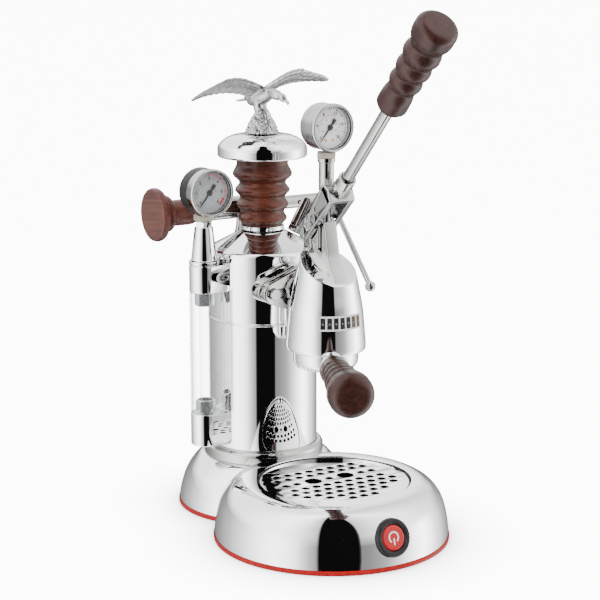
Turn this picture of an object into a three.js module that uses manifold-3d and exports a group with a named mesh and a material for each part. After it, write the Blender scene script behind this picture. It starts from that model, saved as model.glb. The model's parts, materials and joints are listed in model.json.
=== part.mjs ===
// Lever espresso machine: a two-lobed base with drip tray, an upright boiler with sight glass, gauges
// and steam tap, and a manual piston group with its lever and portafilter.
// Millimetres, +Z up, front of the machine towards -Y. Everything is laid out about the boiler's axis
// and moved at the end so that the origin lies under the middle of the whole machine.
import * as THREE from 'three';
import { mergeVertices } from 'three/addons/utils/BufferGeometryUtils.js';
import Module from 'manifold-3d';

const wasm = await Module();
wasm.setup();

// ---------- driving dimensions ----------
const ORIGIN_Y = -96.5;          // the row's origin, measured from the boiler's axis
const GAP = 0.3;                 // clearance left between touching pieces
const SHEET = 2;                 // steel sheet of the base

// sides of the polygons that stand in for circles; pieces that nest share a number
const BASE_SIDES = 32;
const BOILER_SIDES = 28;
const CHAMBER_SIDES = 22;
const GRIP_SIDES = 16;
const GAUGE_SIDES = 22;

const LOBE_Y = -113.7;           // centre of the front lobe
const LOBE_R = 99.2;
const REAR_R = 75.5;
const TRIM_PROUD = 0.8;
const BASE_BOTTOM = 1.6;
const FRONT_DOME = [
  [68, 50.3], [74, 49.8], [79, 48.3], [85, 44.8], [90, 39.6], [93.8, 33], [96.4, 25], [98, 17], [99, 9],
];
const REAR_DOME = [[53.8, 46.3], [57.5, 44.6], [62, 40], [67, 33], [70.8, 25], [73.6, 16], [75.2, 8]];
const FRONT_TOP = 50.3;
const REAR_TOP = 46.3;

const TRAY_Y = -118.2;           // centre of the drip tray and its grille
const TRAY_R = 64.5;
const GRILLE_TOP = 48.8;
const HOLE_R = 3.4;
const BIG_HOLE_R = 7.3;
// rows of the grille: distance behind the centre, then the offsets either side of the middle
const GRILLE_ROWS = [
  [-45.5, [0, 10.65]],
  [-35.7, [5.33, 16, 26.7]],
  [-25.8, [0, 10.65, 21.3, 32, 42.6]],
  [-15.8, [5.33, 16, 26.6, 37.3, 48]],
  [-5.8, [0, 10.65, 21.3, 32, 42.6]],
  [8, [0, 32, 42.6]],
  [22, [0, 10.65, 21.3, 32, 42.6]],
  [32.2, [5.33, 16, 26.6, 37.3]],
];
const BIG_HOLES = [16, 8];       // side offset, distance behind the centre

const SWITCH_AT = [-2.5, -209.6, 26.5];
const SWITCH_TILT = 18;          // degrees above horizontal
const BUTTON_R = 10.6;
const GLAND_Z = 16;

const BOILER_R = 47.6;
const BOILER_WALL = 2.5;
const CONE_FOOT = [46, 231.6];
const CONE_TOP = [19.5, 245.4];
const SEAM_Z = 170;
const PORT_Z = 201;
const CAP_DISC_Z = 310;

const SIGHT_X = -61.6;
const SIGHT_Y = -6;
const SIGHT_R = 13.15;
const SIGHT_LOWER = [62.5, 91];
const SIGHT_UPPER = [198, 222];
const BOILER_GAUGE = { x: SIGHT_X, y: -23.5, z: 285.3, r: 20.5, depth: 25.5 };

const VALVE_Y = 35.5;
const VALVE_Z = 261;
const KNOB_FACE_X = -90;
const WAND_X = 92.5;
const WAND_LENGTH = 97.5;
const WAND_DIP = 46.5;           // degrees below horizontal
const SAFETY_AT = [32, 0, 239.7];
const SAFETY_WAY = [0.503, 0, 0.864];  // square to the boiler's shoulder

const GROUP_Y = -104;
const FLANGE_Z = 204.2;
const BOLT_X = 31.5;
const BELL = [
  [20.3, 246], [22.3, 236.4], [25, 226], [28, 211], [31, 194.5], [33, 172], [33.5, 166], [33.2, 162.5],
  [32, 160.8], [30.5, 160.3],
];
const TOWER_HALF = 5.8;
const ROD_R = 3.9;
const PIN_R = 2;
const PISTON_PIN_Z = 271.5;
const GROUP_GAUGE = { x: 0, y: -115.6, z: 346, r: 20, depth: 22.7 };

const FULCRUM = [0, -87, 258.5];
const LEVER_ANGLE = 46.6;        // degrees above horizontal at rest
const LEVER_OFFSET = -2;         // lever axis below the fulcrum
const ARM_IN = 7;
const ARM_OUT = 12.2;

const PF_ANGLE = 22.9;           // handle turned from straight ahead towards -X
const PF_Z = 152.6;

// ---------- helpers ----------
const rad = THREE.MathUtils.degToRad;
const X_AXIS = [1, 0, 0];
const FRONT = [0, -1, 0];

function solid(geometry) {
  const bare = new THREE.BufferGeometry();
  bare.setAttribute('position', geometry.getAttribute('position'));
  bare.setIndex(geometry.getIndex());
  const welded = mergeVertices(bare, 1e-4);
  const corner = welded.getIndex().array;
  const point = welded.getAttribute('position');
  const triangles = [];
  let volume = 0;
  const a = new THREE.Vector3();
  const b = new THREE.Vector3();
  const c = new THREE.Vector3();
  for (let i = 0; i < corner.length; i += 3) {
    const [p, q, r] = [corner[i], corner[i + 1], corner[i + 2]];
    if (p === q || q === r || r === p) continue;
    triangles.push([p, q, r]);
    a.fromBufferAttribute(point, p);
    b.fromBufferAttribute(point, q);
    c.fromBufferAttribute(point, r);
    volume += a.dot(b.cross(c));
  }
  const outward = volume > 0 ? triangles : triangles.map(([p, q, r]) => [p, r, q]);
  return new wasm.Manifold(new wasm.Mesh({
    numProp: 3,
    vertProperties: new Float32Array(point.array),
    triVerts: new Uint32Array(outward.flat()),
  }));
}

function geometryOf(manifold) {
  const mesh = manifold.getMesh();
  const geometry = new THREE.BufferGeometry();
  geometry.setAttribute('position', new THREE.BufferAttribute(new Float32Array(mesh.vertProperties), 3));
  geometry.setIndex(new THREE.BufferAttribute(new Uint32Array(mesh.triVerts), 1));
  geometry.computeVertexNormals();
  return geometry;
}

const join = (first, ...rest) => geometryOf(rest.reduce((sum, g) => sum.add(solid(g)), solid(first)));
const cut = (first, ...rest) => geometryOf(rest.reduce((sum, g) => sum.subtract(solid(g)), solid(first)));
const meet = (a, b) => geometryOf(solid(a).intersect(solid(b)));

// A closed [radius, height] profile turned about Z.
function turn(profile, segments = 18) {
  const points = [...profile, profile[0]].map(([r, z]) => new THREE.Vector2(r, z));
  return new THREE.LatheGeometry(points, segments).rotateX(Math.PI / 2);
}

const rod = (r, from, to, segments = 14) => turn([[0, from], [r, from], [r, to], [0, to]], segments);
const tube = (inner, outer, from, to, segments = 18) =>
  turn([[inner, from], [outer, from], [outer, to], [inner, to]], segments);

// Swing a piece from the Z axis onto a direction and move it to a point.
function aim(geometry, direction, point = [0, 0, 0]) {
  const way = new THREE.Vector3(...direction).normalize();
  const swing = new THREE.Quaternion().setFromUnitVectors(new THREE.Vector3(0, 0, 1), way);
  return geometry.applyQuaternion(swing).translate(...point);
}

// The outline of a belt pulled round a list of [x, y, radius] circles.
function belt(circles, samples = 32) {
  const outline = [];
  for (let i = 0; i < samples; i += 1) {
    const angle = (2 * Math.PI * i) / samples;
    const [dx, dy] = [Math.cos(angle), Math.sin(angle)];
    const reach = ([x, y, r]) => x * dx + y * dy + r;
    const [x, y, r] = circles.reduce((best, next) => (reach(next) > reach(best) ? next : best));
    outline.push([x + r * dx, y + r * dy]);
  }
  return outline;
}

function extrude(outline, depth) {
  const shape = new THREE.Shape(outline.map(([x, y]) => new THREE.Vector2(x, y)));
  return new THREE.ExtrudeGeometry(shape, { depth, bevelEnabled: false });
}

// An outline given in X and Z, running from one Y back to a smaller Y.
const frontPlate = (outline, from, to) =>
  extrude(outline, from - to).rotateX(Math.PI / 2).translate(0, from, 0);

// An outline given in Y and Z, spread evenly either side of a given X.
const sidePlate = (outline, width, x = 0) => extrude(outline, width)
  .applyMatrix4(new THREE.Matrix4().set(0, 0, 1, x - width / 2, 1, 0, 0, 0, 0, 1, 0, 0, 0, 0, 0, 1));

const machine = new THREE.Group();
machine.name = 'espresso_machine';

const FINISH = {
  chrome: [0xd8dade, 1, 0.12],
  steel: [0xb8bbc0, 1, 0.35],
  brass: [0xb08d4f, 1, 0.4],
  wood: [0x4a2019, 0, 0.45],
  black: [0x18181a, 0, 0.6],
  red: [0xc02424, 0, 0.45],
  white: [0xe6e6e2, 0, 0.5],
  glass: [0xe8f0f4, 0, 0.05],
};

function add(name, geometry, finish) {
  const [color, metalness, roughness] = FINISH[finish];
  const material = new THREE.MeshStandardMaterial({ color, metalness, roughness });
  material.name = name;
  const closed = geometryOf(solid(geometry)).translate(0, -ORIGIN_Y, 0);
  const mesh = new THREE.Mesh(closed, material);
  mesh.name = name;
  machine.add(mesh);
}

// ---------- base ----------
function lobes(front, rear, from, to) {
  return join(rod(front, from, to, BASE_SIDES).translate(0, LOBE_Y, 0), rod(rear, from, to, BOILER_SIDES));
}

function dome(top, profile, footRadius, inset) {
  const kept = inset > 0 ? profile.filter((_, i) => i % 2 === 0) : profile;
  const skin = kept.map(([r, z]) => [r - inset, z - inset]);
  const foot = inset > 0 ? -1 : BASE_BOTTOM;
  return [[0, top - inset], ...skin, [footRadius - inset, foot], [0, foot]];
}

const switchWay = [0, -Math.cos(rad(SWITCH_TILT)), Math.sin(rad(SWITCH_TILT))];

function baseShell() {
  const outer = join(
    turn(dome(FRONT_TOP, FRONT_DOME, LOBE_R, 0), BASE_SIDES).translate(0, LOBE_Y, 0),
    turn(dome(REAR_TOP, REAR_DOME, REAR_R, 0), BOILER_SIDES),
  );
  const hollow = cut(
    outer,
    turn(dome(FRONT_TOP, FRONT_DOME, LOBE_R, SHEET), BASE_SIDES).translate(0, LOBE_Y, 0),
    turn(dome(REAR_TOP, REAR_DOME, REAR_R, SHEET), BOILER_SIDES),
    rod(53.6, REAR_TOP, 60, BOILER_SIDES),
    rod(TRAY_R + GAP, 40, 60, BASE_SIDES).translate(0, TRAY_Y, 0),
    aim(rod(16.1, -30, 20, 18), switchWay, SWITCH_AT),
    aim(rod(7.8, 60, 90), [0, 1, 0], [0, 0, GLAND_Z]),
  );
  const trayLedge = tube(TRAY_R - 1.1, TRAY_R + 3, 43.4, 45, BASE_SIDES).translate(0, TRAY_Y, 0);
  const seat = tube(37, 53.3, REAR_TOP - SHEET, REAR_TOP, BOILER_SIDES);
  const ledgeRoom = rod(TRAY_R - 1.1, 40, 60, BASE_SIDES).translate(0, TRAY_Y, 0);
  const wiring = rod(37, 40, 60, BOILER_SIDES);
  return cut(join(hollow, trayLedge, seat), ledgeRoom, wiring, rod(53.6, REAR_TOP, 60, BOILER_SIDES));
}

add('base_shell', baseShell(), 'chrome');
add('base_trim', cut(
  lobes(LOBE_R + TRIM_PROUD, REAR_R + TRIM_PROUD, 0, 3.9),
  lobes(LOBE_R + GAP, REAR_R + GAP, BASE_BOTTOM - GAP, 5),
  lobes(LOBE_R - 6, REAR_R - 6, -1, 5),
), 'red');
add('base_plate', lobes(LOBE_R - 2.5, REAR_R - 2.5, BASE_BOTTOM, 3.2), 'steel');

add('drip_tray', turn([
  [0, 22], [61.5, 22], [63, 23.5], [63, 45.3], [TRAY_R, 45.3], [TRAY_R, 48.4], [63.8, 48.4], [63.8, 46.5],
  [61.8, 46.5], [61.8, 24.7], [60.6, 23.5], [0, 23.5],
], BASE_SIDES).translate(0, TRAY_Y, 0), 'black');

function dripGrille() {
  const holes = [];
  for (const [behind, offsets] of GRILLE_ROWS) {
    for (const side of offsets) {
      const places = side === 0 ? [0] : [-side, side];
      for (const x of places) holes.push([x, behind, HOLE_R, 6]);
    }
  }
  const [side, behind] = BIG_HOLES;
  holes.push([-side, behind, BIG_HOLE_R, 12], [side, behind, BIG_HOLE_R, 12]);
  const drills = holes.map(([x, y, r, n]) => rod(r, 40, 55, n).translate(x, TRAY_Y + y, 0));
  return cut(rod(63.5, 46.8, GRILLE_TOP, BASE_SIDES).translate(0, TRAY_Y, 0), ...drills);
}

add('drip_grille', dripGrille(), 'chrome');
add('switch_housing', aim(turn([
  [0, -18], [15.8, -18], [15.8, 1.4], [14.6, 2.4], [11.6, 2.2], [10.9, 1.6], [10.9, -9], [0, -9],
]), switchWay, SWITCH_AT), 'black');
add('power_button', aim(turn([
  [0, -5.7], [BUTTON_R, -5.7], [BUTTON_R, 0.9], [9.8, 1.7], [0, 1.7],
]), switchWay, SWITCH_AT), 'red');
add('cord_gland', aim(turn([
  [3.5, 66], [7.5, 66], [7.5, 76.6], [6.2, 78.2], [3.5, 78.2],
], 14), [0, 1, 0], [0, 0, GLAND_Z]), 'black');

// ---------- boiler ----------
const boilerClear = () => rod(BOILER_R + GAP, 40, 232, BOILER_SIDES);

add('boiler_base_ring', turn([
  [41, 46.6], [53.3, 46.6], [53.3, 53.6], [52.4, 55.6], [50.6, 56.8], [47.9, 57.2], [47.9, 50], [41, 50],
], BOILER_SIDES), 'chrome');

function boilerShell() {
  const inner = BOILER_R - BOILER_WALL;
  const vessel = turn([
    [inner, 50.3], [BOILER_R, 50.3], [BOILER_R, SEAM_Z - 1], [BOILER_R + 0.8, SEAM_Z - 0.5],
    [BOILER_R + 0.8, SEAM_Z + 0.5], [BOILER_R, SEAM_Z + 1], [BOILER_R, 228.4], [47.2, 230.4], CONE_FOOT,
    CONE_TOP, [13.6, CONE_TOP[1]], [13.6, 237], [16.5, 237], [16.5, 243.6], [44, 229], [inner, 227.6],
  ], BOILER_SIDES);
  return cut(
    vessel,
    aim(rod(5, 40, 60, 10), FRONT, [0, 0, PORT_Z]),
    aim(rod(3, 40, 60, 8), [-1, 0, 0], [0, SIGHT_Y, 78]),
    aim(rod(3, 40, 60, 8), [-1, 0, 0], [0, SIGHT_Y, 208]),
    rod(3.5, 225, 250, 8).translate(0, VALVE_Y, 0),
    aim(rod(3.2, -8, 6, 8), SAFETY_WAY, SAFETY_AT),
  );
}

add('boiler_shell', boilerShell(), 'chrome');
function heatingElement() {
  const loop = new THREE.CatmullRomCurve3([
    [-9, 52], [-9, 110], [-6.5, 146], [0, 153], [6.5, 146], [9, 110], [9, 52],
  ].map(([x, z]) => new THREE.Vector3(x, 0, z)));
  const section = new THREE.Shape();
  section.absarc(0, 0, 3.5, 0, 2 * Math.PI, false);
  const bar = new THREE.ExtrudeGeometry(section, { steps: 12, curveSegments: 4, extrudePath: loop });
  return join(rod(44.8, 50.3, 54.3, BOILER_SIDES), rod(17.7, 45, 56, 18), bar);
}

add('heating_element', heatingElement(), 'steel');

// ---------- filler cap ----------
add('cap_gasket', tube(14.2, 17.6, CONE_TOP[1] + GAP, CONE_TOP[1] + 1.2), 'black');
add('cap_plug', turn([
  [0, 234], [13.2, 234], [13.2, 246.9], [18.8, 246.9], [18.8, 250.2], [ROD_R, 250.2], [ROD_R, 322], [0, 322],
]), 'chrome');
add('cap_grip', turn([
  [4.2, 250.5], [17.6, 250.5], [18.6, 252], [21.2, 255.3], [21.4, 257.2], [19.3, 260.6], [19.1, 263.2],
  [22.2, 267.2], [22.6, 269.6], [19.9, 273.2], [19.7, 275.6], [23.5, 279.8], [23.9, 282.4], [20.8, 286.2],
  [20.5, 288.4], [25.2, 292.8], [25.9, 296], [24.6, 299.8], [23.4, 303.8], [22.6, 309.7], [4.2, 309.7],
], GRIP_SIDES), 'wood');
add('cap_disc', turn([
  [4.2, CAP_DISC_Z], [38, CAP_DISC_Z], [39, 311], [39, 317.6], [38, 320.4], [35.6, 323.2], [31.5, 326.2],
  [26, 328.4], [20, 329.5], [0, 330], [0, 322.3], [4.2, 322.3],
], 26), 'chrome');

// A bird on a rock, wings spread and a little banked, its head turned slightly to the right.
function eagle() {
  const ball = (rx, ry, rz, y, z, tilt = 0) =>
    new THREE.SphereGeometry(1, 10, 7).scale(rx, ry, rz).rotateX(tilt).translate(0, y, z);
  const rock = turn([
    [0, 330.3], [14, 330.3], [14.2, 333], [12.6, 338], [11, 343], [7.5, 348], [4.5, 352], [0, 354],
  ], 12);
  const body = ball(7, 17, 7.5, 2, 361, rad(-18));
  const legs = turn([[0, 340], [5, 340], [4.2, 350], [6, 358], [0, 360]], 8).translate(0, 2, 0);
  const neck = ball(4.5, 9, 4.6, -17, 364.5, rad(12));
  const head = ball(3.7, 5.6, 3.7, -25.5, 362, rad(30));
  const beak = aim(new THREE.ConeGeometry(1.8, 7, 6).rotateX(Math.PI / 2), [0, -1, -0.8], [0, -31, 359.4]);
  const tail = sidePlate([[4, 360], [14, 360.5], [29, 356], [30, 353.5], [14, 355], [4, 356]], 11);
  const wing = (side) => {
    const outline = [
      [0, -9], [12, -11], [24, -12], [36, -11], [48, -8], [59, -3], [69, 4], [60, 8], [48, 9], [36, 11], [24, 12],
      [12, 11], [0, 9],
    ];
    const slab = extrude(outline, 2.6);
    const place = slab.getAttribute('position');
    const pitch = rad(34);
    for (let i = 0; i < place.count; i += 1) {
      const [span, chord] = [place.getX(i), place.getY(i)];
      const reach = span / 69;
      const thick = place.getZ(i) * (1 - 0.5 * reach);
      const lift = 365 + 2 * reach + 10.5 * Math.sin(Math.PI * reach);
      place.setXYZ(
        i, side * span, chord * Math.cos(pitch) + thick * Math.sin(pitch),
        lift - chord * Math.sin(pitch) + thick * Math.cos(pitch),
      );
    }
    return slab;
  };
  const bird = join(body, legs, neck, head, beak, tail).rotateZ(rad(13));
  const wings = join(wing(1), wing(-1)).translate(0, 0, -360).rotateY(rad(-4.4)).translate(0, 0, 360);
  return join(rock, bird, wings);
}

add('eagle_finial', eagle(), 'chrome');

// ---------- sight glass and boiler gauge ----------
const sightOutline = (r) => belt([[SIGHT_X, SIGHT_Y, r], [-40, SIGHT_Y, r]], 24);
const sightSlab = (r, from, to) => extrude(sightOutline(r), to - from).translate(0, 0, from);

const [lowFrom, lowTo] = SIGHT_LOWER;
const [highFrom, highTo] = SIGHT_UPPER;
add('sight_block_lower', cut(
  sightSlab(SIGHT_R, lowFrom, lowTo),
  boilerClear(),
  rod(4, 72, 95, 10).translate(SIGHT_X, SIGHT_Y, 0),
  aim(rod(3, 40, -SIGHT_X, 8), [-1, 0, 0], [0, SIGHT_Y, 78]),
), 'chrome');
add('sight_block_upper', cut(
  sightSlab(SIGHT_R, highFrom, highTo),
  boilerClear(),
  rod(4, 190, 230, 10).translate(SIGHT_X, SIGHT_Y, 0),
  aim(rod(3, 40, -SIGHT_X, 8), [-1, 0, 0], [0, SIGHT_Y, 208]),
), 'chrome');
add('sight_nut_lower', tube(6.1, 8.6, lowTo + GAP, 102.2, 6).translate(SIGHT_X, SIGHT_Y, 0), 'chrome');
add('sight_nut_upper', tube(6.1, 8.6, 186, highFrom - GAP, 6).translate(SIGHT_X, SIGHT_Y, 0), 'chrome');
add('sight_tube', tube(3.6, 4.9, 93, 196, 12).translate(SIGHT_X, SIGHT_Y, 0), 'glass');
add('sight_cover', cut(
  sightSlab(SIGHT_R, lowTo + GAP, highFrom - GAP),
  sightSlab(SIGHT_R - 1.2, lowTo, highFrom),
  rod(BOILER_R + 1.1, 40, 232, 48),
), 'glass');
add('gauge_riser', join(
  turn([[4, 222.3], [13.3, 222.3], [13.3, 225.2], [11.2, 226.2], [7.9, 254.6], [4, 254.6]]),
  tube(4, 7.8, 254.4, 259.4, 6),
).translate(SIGHT_X, SIGHT_Y, 0), 'chrome');
add('boiler_gauge_adapter', tube(3, 9, 259.7, 264.9, 4).rotateZ(rad(45)).translate(SIGHT_X, SIGHT_Y, 0), 'brass');

// One dial gauge facing -Y: a cup-shaped case, bezel, dial, needle and lens.
function gauge(prefix, { x, y, z, r, depth }, splitCase) {
  const seat = (geometry) => aim(geometry, FRONT, [x, y, z]);
  const wall = r - 0.8;
  const cupTop = splitCase ? -11.5 : -4.3;
  add(`${prefix}_case`, seat(turn([
    [0, -depth], [wall - 1, -depth], [wall, 1 - depth], [wall, cupTop], [wall - 1.6, cupTop],
    [wall - 1.6, 1.5 - depth], [0, 1.5 - depth],
  ], GAUGE_SIDES)), splitCase ? 'black' : 'chrome');
  const skirt = splitCase ? [[wall - 1.6, cupTop + GAP], [wall + 0.2, cupTop + GAP], [wall + 0.2, -4]] : [];
  add(`${prefix}_bezel`, seat(turn([
    [r - 2.6, -4], ...skirt, [r, -4], [r, -1.2], [r - 0.9, 0], [r - 2, 0], [r - 2.6, -0.6],
  ], GAUGE_SIDES)), 'chrome');
  add(`${prefix}_dial`, seat(tube(1.1, wall - 1.9, -8, -7.2, GAUGE_SIDES)), 'white');
  add(`${prefix}_lens`, seat(rod(r - 2.9, -3.8, -2.6, GAUGE_SIDES)), 'glass');
  const pointer = extrude([[-0.5, 0], [-0.3, -(r - 6)], [0.3, -(r - 6)], [0.5, 0], [1, 7], [-1, 7]], 0.7)
    .rotateZ(rad(-38)).translate(0, 0, -6.2);
  add(`${prefix}_needle`, seat(join(pointer, rod(1.9, -6.6, -5.2, 8), rod(0.8, -9, -6, 6))), 'black');
}

gauge('boiler_gauge', BOILER_GAUGE, true);

// ---------- steam tap ----------
const alongX = (geometry, x = 0) => aim(geometry, X_AXIS, [x, VALVE_Y, VALVE_Z]);
const coneClear = () => turn([
  [0, 200], [48.5, 200], [48.2, 229], [CONE_FOOT[0], CONE_FOOT[1] + 0.45], [CONE_TOP[0], CONE_TOP[1] + 0.45],
  [0, CONE_TOP[1] + 0.45],
], BOILER_SIDES);

add('steam_valve_body', cut(
  join(
    alongX(turn([[0, -40], [9, -40], [10, -38.5], [10, 20], [8, 22], [6, 23], [6, 85.7], [0, 85.7]])),
    alongX(rod(2.9, 80, 97)),
    alongX(rod(8.4, -47, -39, 6)),
    rod(5.6, 230, VALVE_Z).translate(0, VALVE_Y, 0),
  ),
  coneClear(),
  alongX(rod(3.2, -48, -5)),
), 'chrome');
add('steam_spindle', alongX(rod(2.9, -61, -9)), 'steel');
add('steam_knob', alongX(turn([
  [0, 0], [21.6, 0], [23.2, 1.4], [23.5, 4], [22.6, 6.8], [19.4, 8.8], [13.4, 9.8], [13.8, 11.2], [15.8, 13.2],
  [15.8, 15.2], [13.2, 17.8], [11.2, 19.4], [11.5, 23], [11.3, 36], [9.4, 40.6], [3.2, 41.2], [3.2, 29], [0, 29],
], 20), KNOB_FACE_X), 'wood');

const wandWay = [0, -Math.cos(rad(WAND_DIP)), -Math.sin(rad(WAND_DIP))];
const wandRoot = [WAND_X, VALVE_Y, VALVE_Z];
const alongWand = (geometry) => aim(geometry, wandWay, wandRoot);
add('steam_wand', cut(
  join(
    alongX(turn([[0, 86], [5.6, 86], [6.8, 88], [6.8, 97], [5, 99], [0, 99.4]])),
    alongWand(rod(2.6, 0, WAND_LENGTH, 10)),
    alongWand(turn([[0, -4], [2.8, -3.8], [4.8, 0], [3.4, 3.6], [0, 4.8]], 12).translate(0, 0, WAND_LENGTH)),
  ),
  alongX(rod(3.1, 80, 97.5)),
), 'chrome');
add('safety_valve', join(
  aim(rod(8.2, 0.6, 5.6, 6), SAFETY_WAY, SAFETY_AT),
  aim(turn([
    [0, 5], [6.8, 5], [6.8, 27], [6.2, 28], [6.8, 29], [6.8, 32], [5.6, 33.6], [0, 34.4],
  ], 14), SAFETY_WAY, SAFETY_AT),
), 'chrome');

// ---------- group ----------
const flange = (shrink = 0) => belt([
  [0, FLANGE_Z, 20 - shrink], [-BOLT_X, FLANGE_Z, 9 - shrink], [BOLT_X, FLANGE_Z, 9 - shrink],
]);
const boltHoles = (from, to) => [-BOLT_X, BOLT_X].map((x) =>
  aim(rod(3.3, from, to, 10), FRONT, [x, 0, FLANGE_Z]));

add('group_mount', cut(
  join(frontPlate(flange(), -50, -62.7), aim(rod(17, 40, 51, 20), FRONT, [0, 0, FLANGE_Z])),
  boilerClear(),
  aim(rod(5, 40, 70, 10), FRONT, [0, 0, PORT_Z]),
  ...boltHoles(54, 70),
), 'chrome');
add('group_gasket', cut(
  frontPlate(flange(0.6), -63, -64),
  aim(rod(8, 60, 70), FRONT, [0, 0, PORT_Z]),
  ...boltHoles(60, 70),
), 'black');

function groupBody() {
  const tower = sidePlate([
    [-110.6, 268.4], [-113.2, 256], [-115.8, 243], [-119.4, 231], [-123.6, 223.6], [-128.6, 219], [-120, 206],
    [-84, 206], [-77, 236], [-78.4, 257], [-80.6, 263.4], [-86, 266.6], [-97, 268.4],
  ], 2 * TOWER_HALF);
  const aboveSlope = sidePlate([[-150, 207.5], [-150, 300], [-60, 300], [-60, 256.9]], 90);
  const bell = cut(turn([[0, 246], ...BELL, [0, 160.3]], CHAMBER_SIDES).translate(0, GROUP_Y, 0), aboveSlope);
  const slot = join(
    sidePlate([[-108.1, 244.1], [-99.9, 244.1], [-99.9, 280], [-108.1, 280]], 30),
    aim(rod(4.1, -15, 15, 12), X_AXIS, [0, GROUP_Y, 244.1]),
  );
  return cut(
    join(
      bell, tower, frontPlate(flange(), -64.3, -72), aim(rod(16, 70, 100, 20), FRONT, [0, 0, FLANGE_Z]),
    ),
    turn([[0, 150], [28.6, 150], [28.6, 168], [24.6, 168], [24.6, 205], [0, 205]], CHAMBER_SIDES)
      .translate(0, GROUP_Y, 0),
    rod(4.4, 200, 250).translate(0, GROUP_Y, 0),
    slot,
    aim(rod(PIN_R + GAP, -15, 15), X_AXIS, FULCRUM),
    aim(rod(5, 60, 90, 10), FRONT, [0, 0, PORT_Z - 1]),
    ...boltHoles(60, 75),
  );
}

add('group_body', groupBody(), 'chrome');
for (const [name, x] of [['group_bolt_left', -BOLT_X], ['group_bolt_right', BOLT_X]]) {
  const at = [x, 0, FLANGE_Z];
  add(name, join(aim(rod(3, 56, 73, 10), FRONT, at), aim(rod(5.4, 72.3, 76.3, 6), FRONT, at)), 'steel');
}

const onGroup = (geometry) => geometry.translate(0, GROUP_Y, 0);
add('cylinder_sleeve', onGroup(tube(22.5, 24.3, 168.3, 204.7, CHAMBER_SIDES)), 'steel');
add('shower_screen', onGroup(turn([
  [0, 164.2], [24.2, 164.2], [24.2, 167.7], [23.2, 167.7], [23.2, 165.2], [0, 165.2],
], CHAMBER_SIDES)), 'steel');
add('piston', onGroup(turn([
  [4.2, 193.3], [22.2, 193.3], [22.2, 195.5], [20, 195.5], [20, 198.5], [22.2, 198.5], [22.2, 201.5], [4.2, 201.5],
], CHAMBER_SIDES)), 'brass');
add('piston_rod', cut(
  onGroup(turn([[0, 190], [7, 190], [7, 193], [ROD_R, 193], [ROD_R, 303], [0, 303]], 14)),
  aim(rod(PIN_R + GAP, -10, 10), X_AXIS, [0, GROUP_Y, PISTON_PIN_Z]),
), 'steel');

const pin = (at) => aim(turn([
  [0, -13.6], [3.4, -13.6], [3.4, -12.5], [PIN_R, -12.5], [PIN_R, 12.5], [3.4, 12.5], [3.4, 13.6], [0, 13.6],
], 14), X_AXIS, at);
add('piston_pin', pin([0, GROUP_Y, PISTON_PIN_Z]), 'steel');
add('fulcrum_pin', pin(FULCRUM), 'steel');

add('gauge_stem', onGroup(turn([
  [4.2, 294], [6.3, 294], [6.3, 316.8], [7.5, 317.3], [7.5, 320.6], [0, 320.6], [0, 303.3], [4.2, 303.3],
])), 'chrome');
add('group_gauge_adapter', onGroup(rod(10.5, 320.9, 325.6, 4).rotateZ(rad(10))), 'brass');
gauge('group_gauge', GROUP_GAUGE, false);

function thermometerStrip() {
  const [low, high] = [182.3, 194.6];
  const bellAt = (z) => 33 + ((31 - 33) * (z - 172)) / (194.5 - 172);
  const skin = turn([
    [bellAt(low) + 0.3, low], [bellAt(low) + 0.8, low], [bellAt(high) + 0.8, high], [bellAt(high) + 0.3, high],
  ], 2 * CHAMBER_SIDES);
  const edge = (degrees) => [60 * Math.sin(rad(degrees)), -60 * Math.cos(rad(degrees))];
  const wedge = extrude([[0, 0], edge(-42), edge(0), edge(28)], 30).translate(0, 0, 170);
  return onGroup(meet(skin, wedge));
}

add('thermometer_strip', thermometerStrip(), 'black');

// ---------- lever ----------
const leverWay = new THREE.Vector3(0, -Math.cos(rad(LEVER_ANGLE)), Math.sin(rad(LEVER_ANGLE)));
const leverUp = new THREE.Vector3(0, Math.sin(rad(LEVER_ANGLE)), Math.cos(rad(LEVER_ANGLE)));
const leverFrame = new THREE.Matrix4()
  .makeBasis(leverWay, leverUp, new THREE.Vector3(-1, 0, 0)).setPosition(...FULCRUM);
const onLever = (geometry) => {
  const root = new THREE.Vector3(...FULCRUM).addScaledVector(leverUp, LEVER_OFFSET);
  return aim(geometry, leverWay.toArray(), root.toArray());
};

function leverFork() {
  const slab = (outline, width, x) => extrude(outline, width).translate(0, 0, x - width / 2)
    .applyMatrix4(leverFrame);
  const arm = belt([[0, 0, 7.3], [51.5, 6.4, 1], [49.5, -9, 1]], 24);
  const arms = [-1, 1].map((side) => slab(arm, ARM_OUT - ARM_IN, (side * (ARM_OUT + ARM_IN)) / 2));
  const crown = slab(belt([[48, 6, 1], [52.5, 5, 1], [54, -1, 1], [50.5, -9, 1], [46.5, -8.5, 1]], 16), 2 * ARM_OUT, 0);
  const slotAt = Math.atan2(PISTON_PIN_Z - FULCRUM[2], FULCRUM[1] - GROUP_Y) - rad(LEVER_ANGLE);
  const slotEnd = (reach) => [reach * Math.cos(slotAt), reach * Math.sin(slotAt), 2.95];
  const slot = slab(belt([slotEnd(16.6), slotEnd(21.8)], 16), 40, 0);
  return cut(
    join(
      arms[0], arms[1], crown, onLever(rod(8.2, 50, 62, 6)), onLever(turn([[0, 55], [7.4, 55], [7.4, 70], [0, 70]])),
    ),
    slot,
    aim(rod(PIN_R + 0.1, -20, 20), X_AXIS, FULCRUM),
    onLever(rod(5.3, 56, 75)),
  );
}

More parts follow.
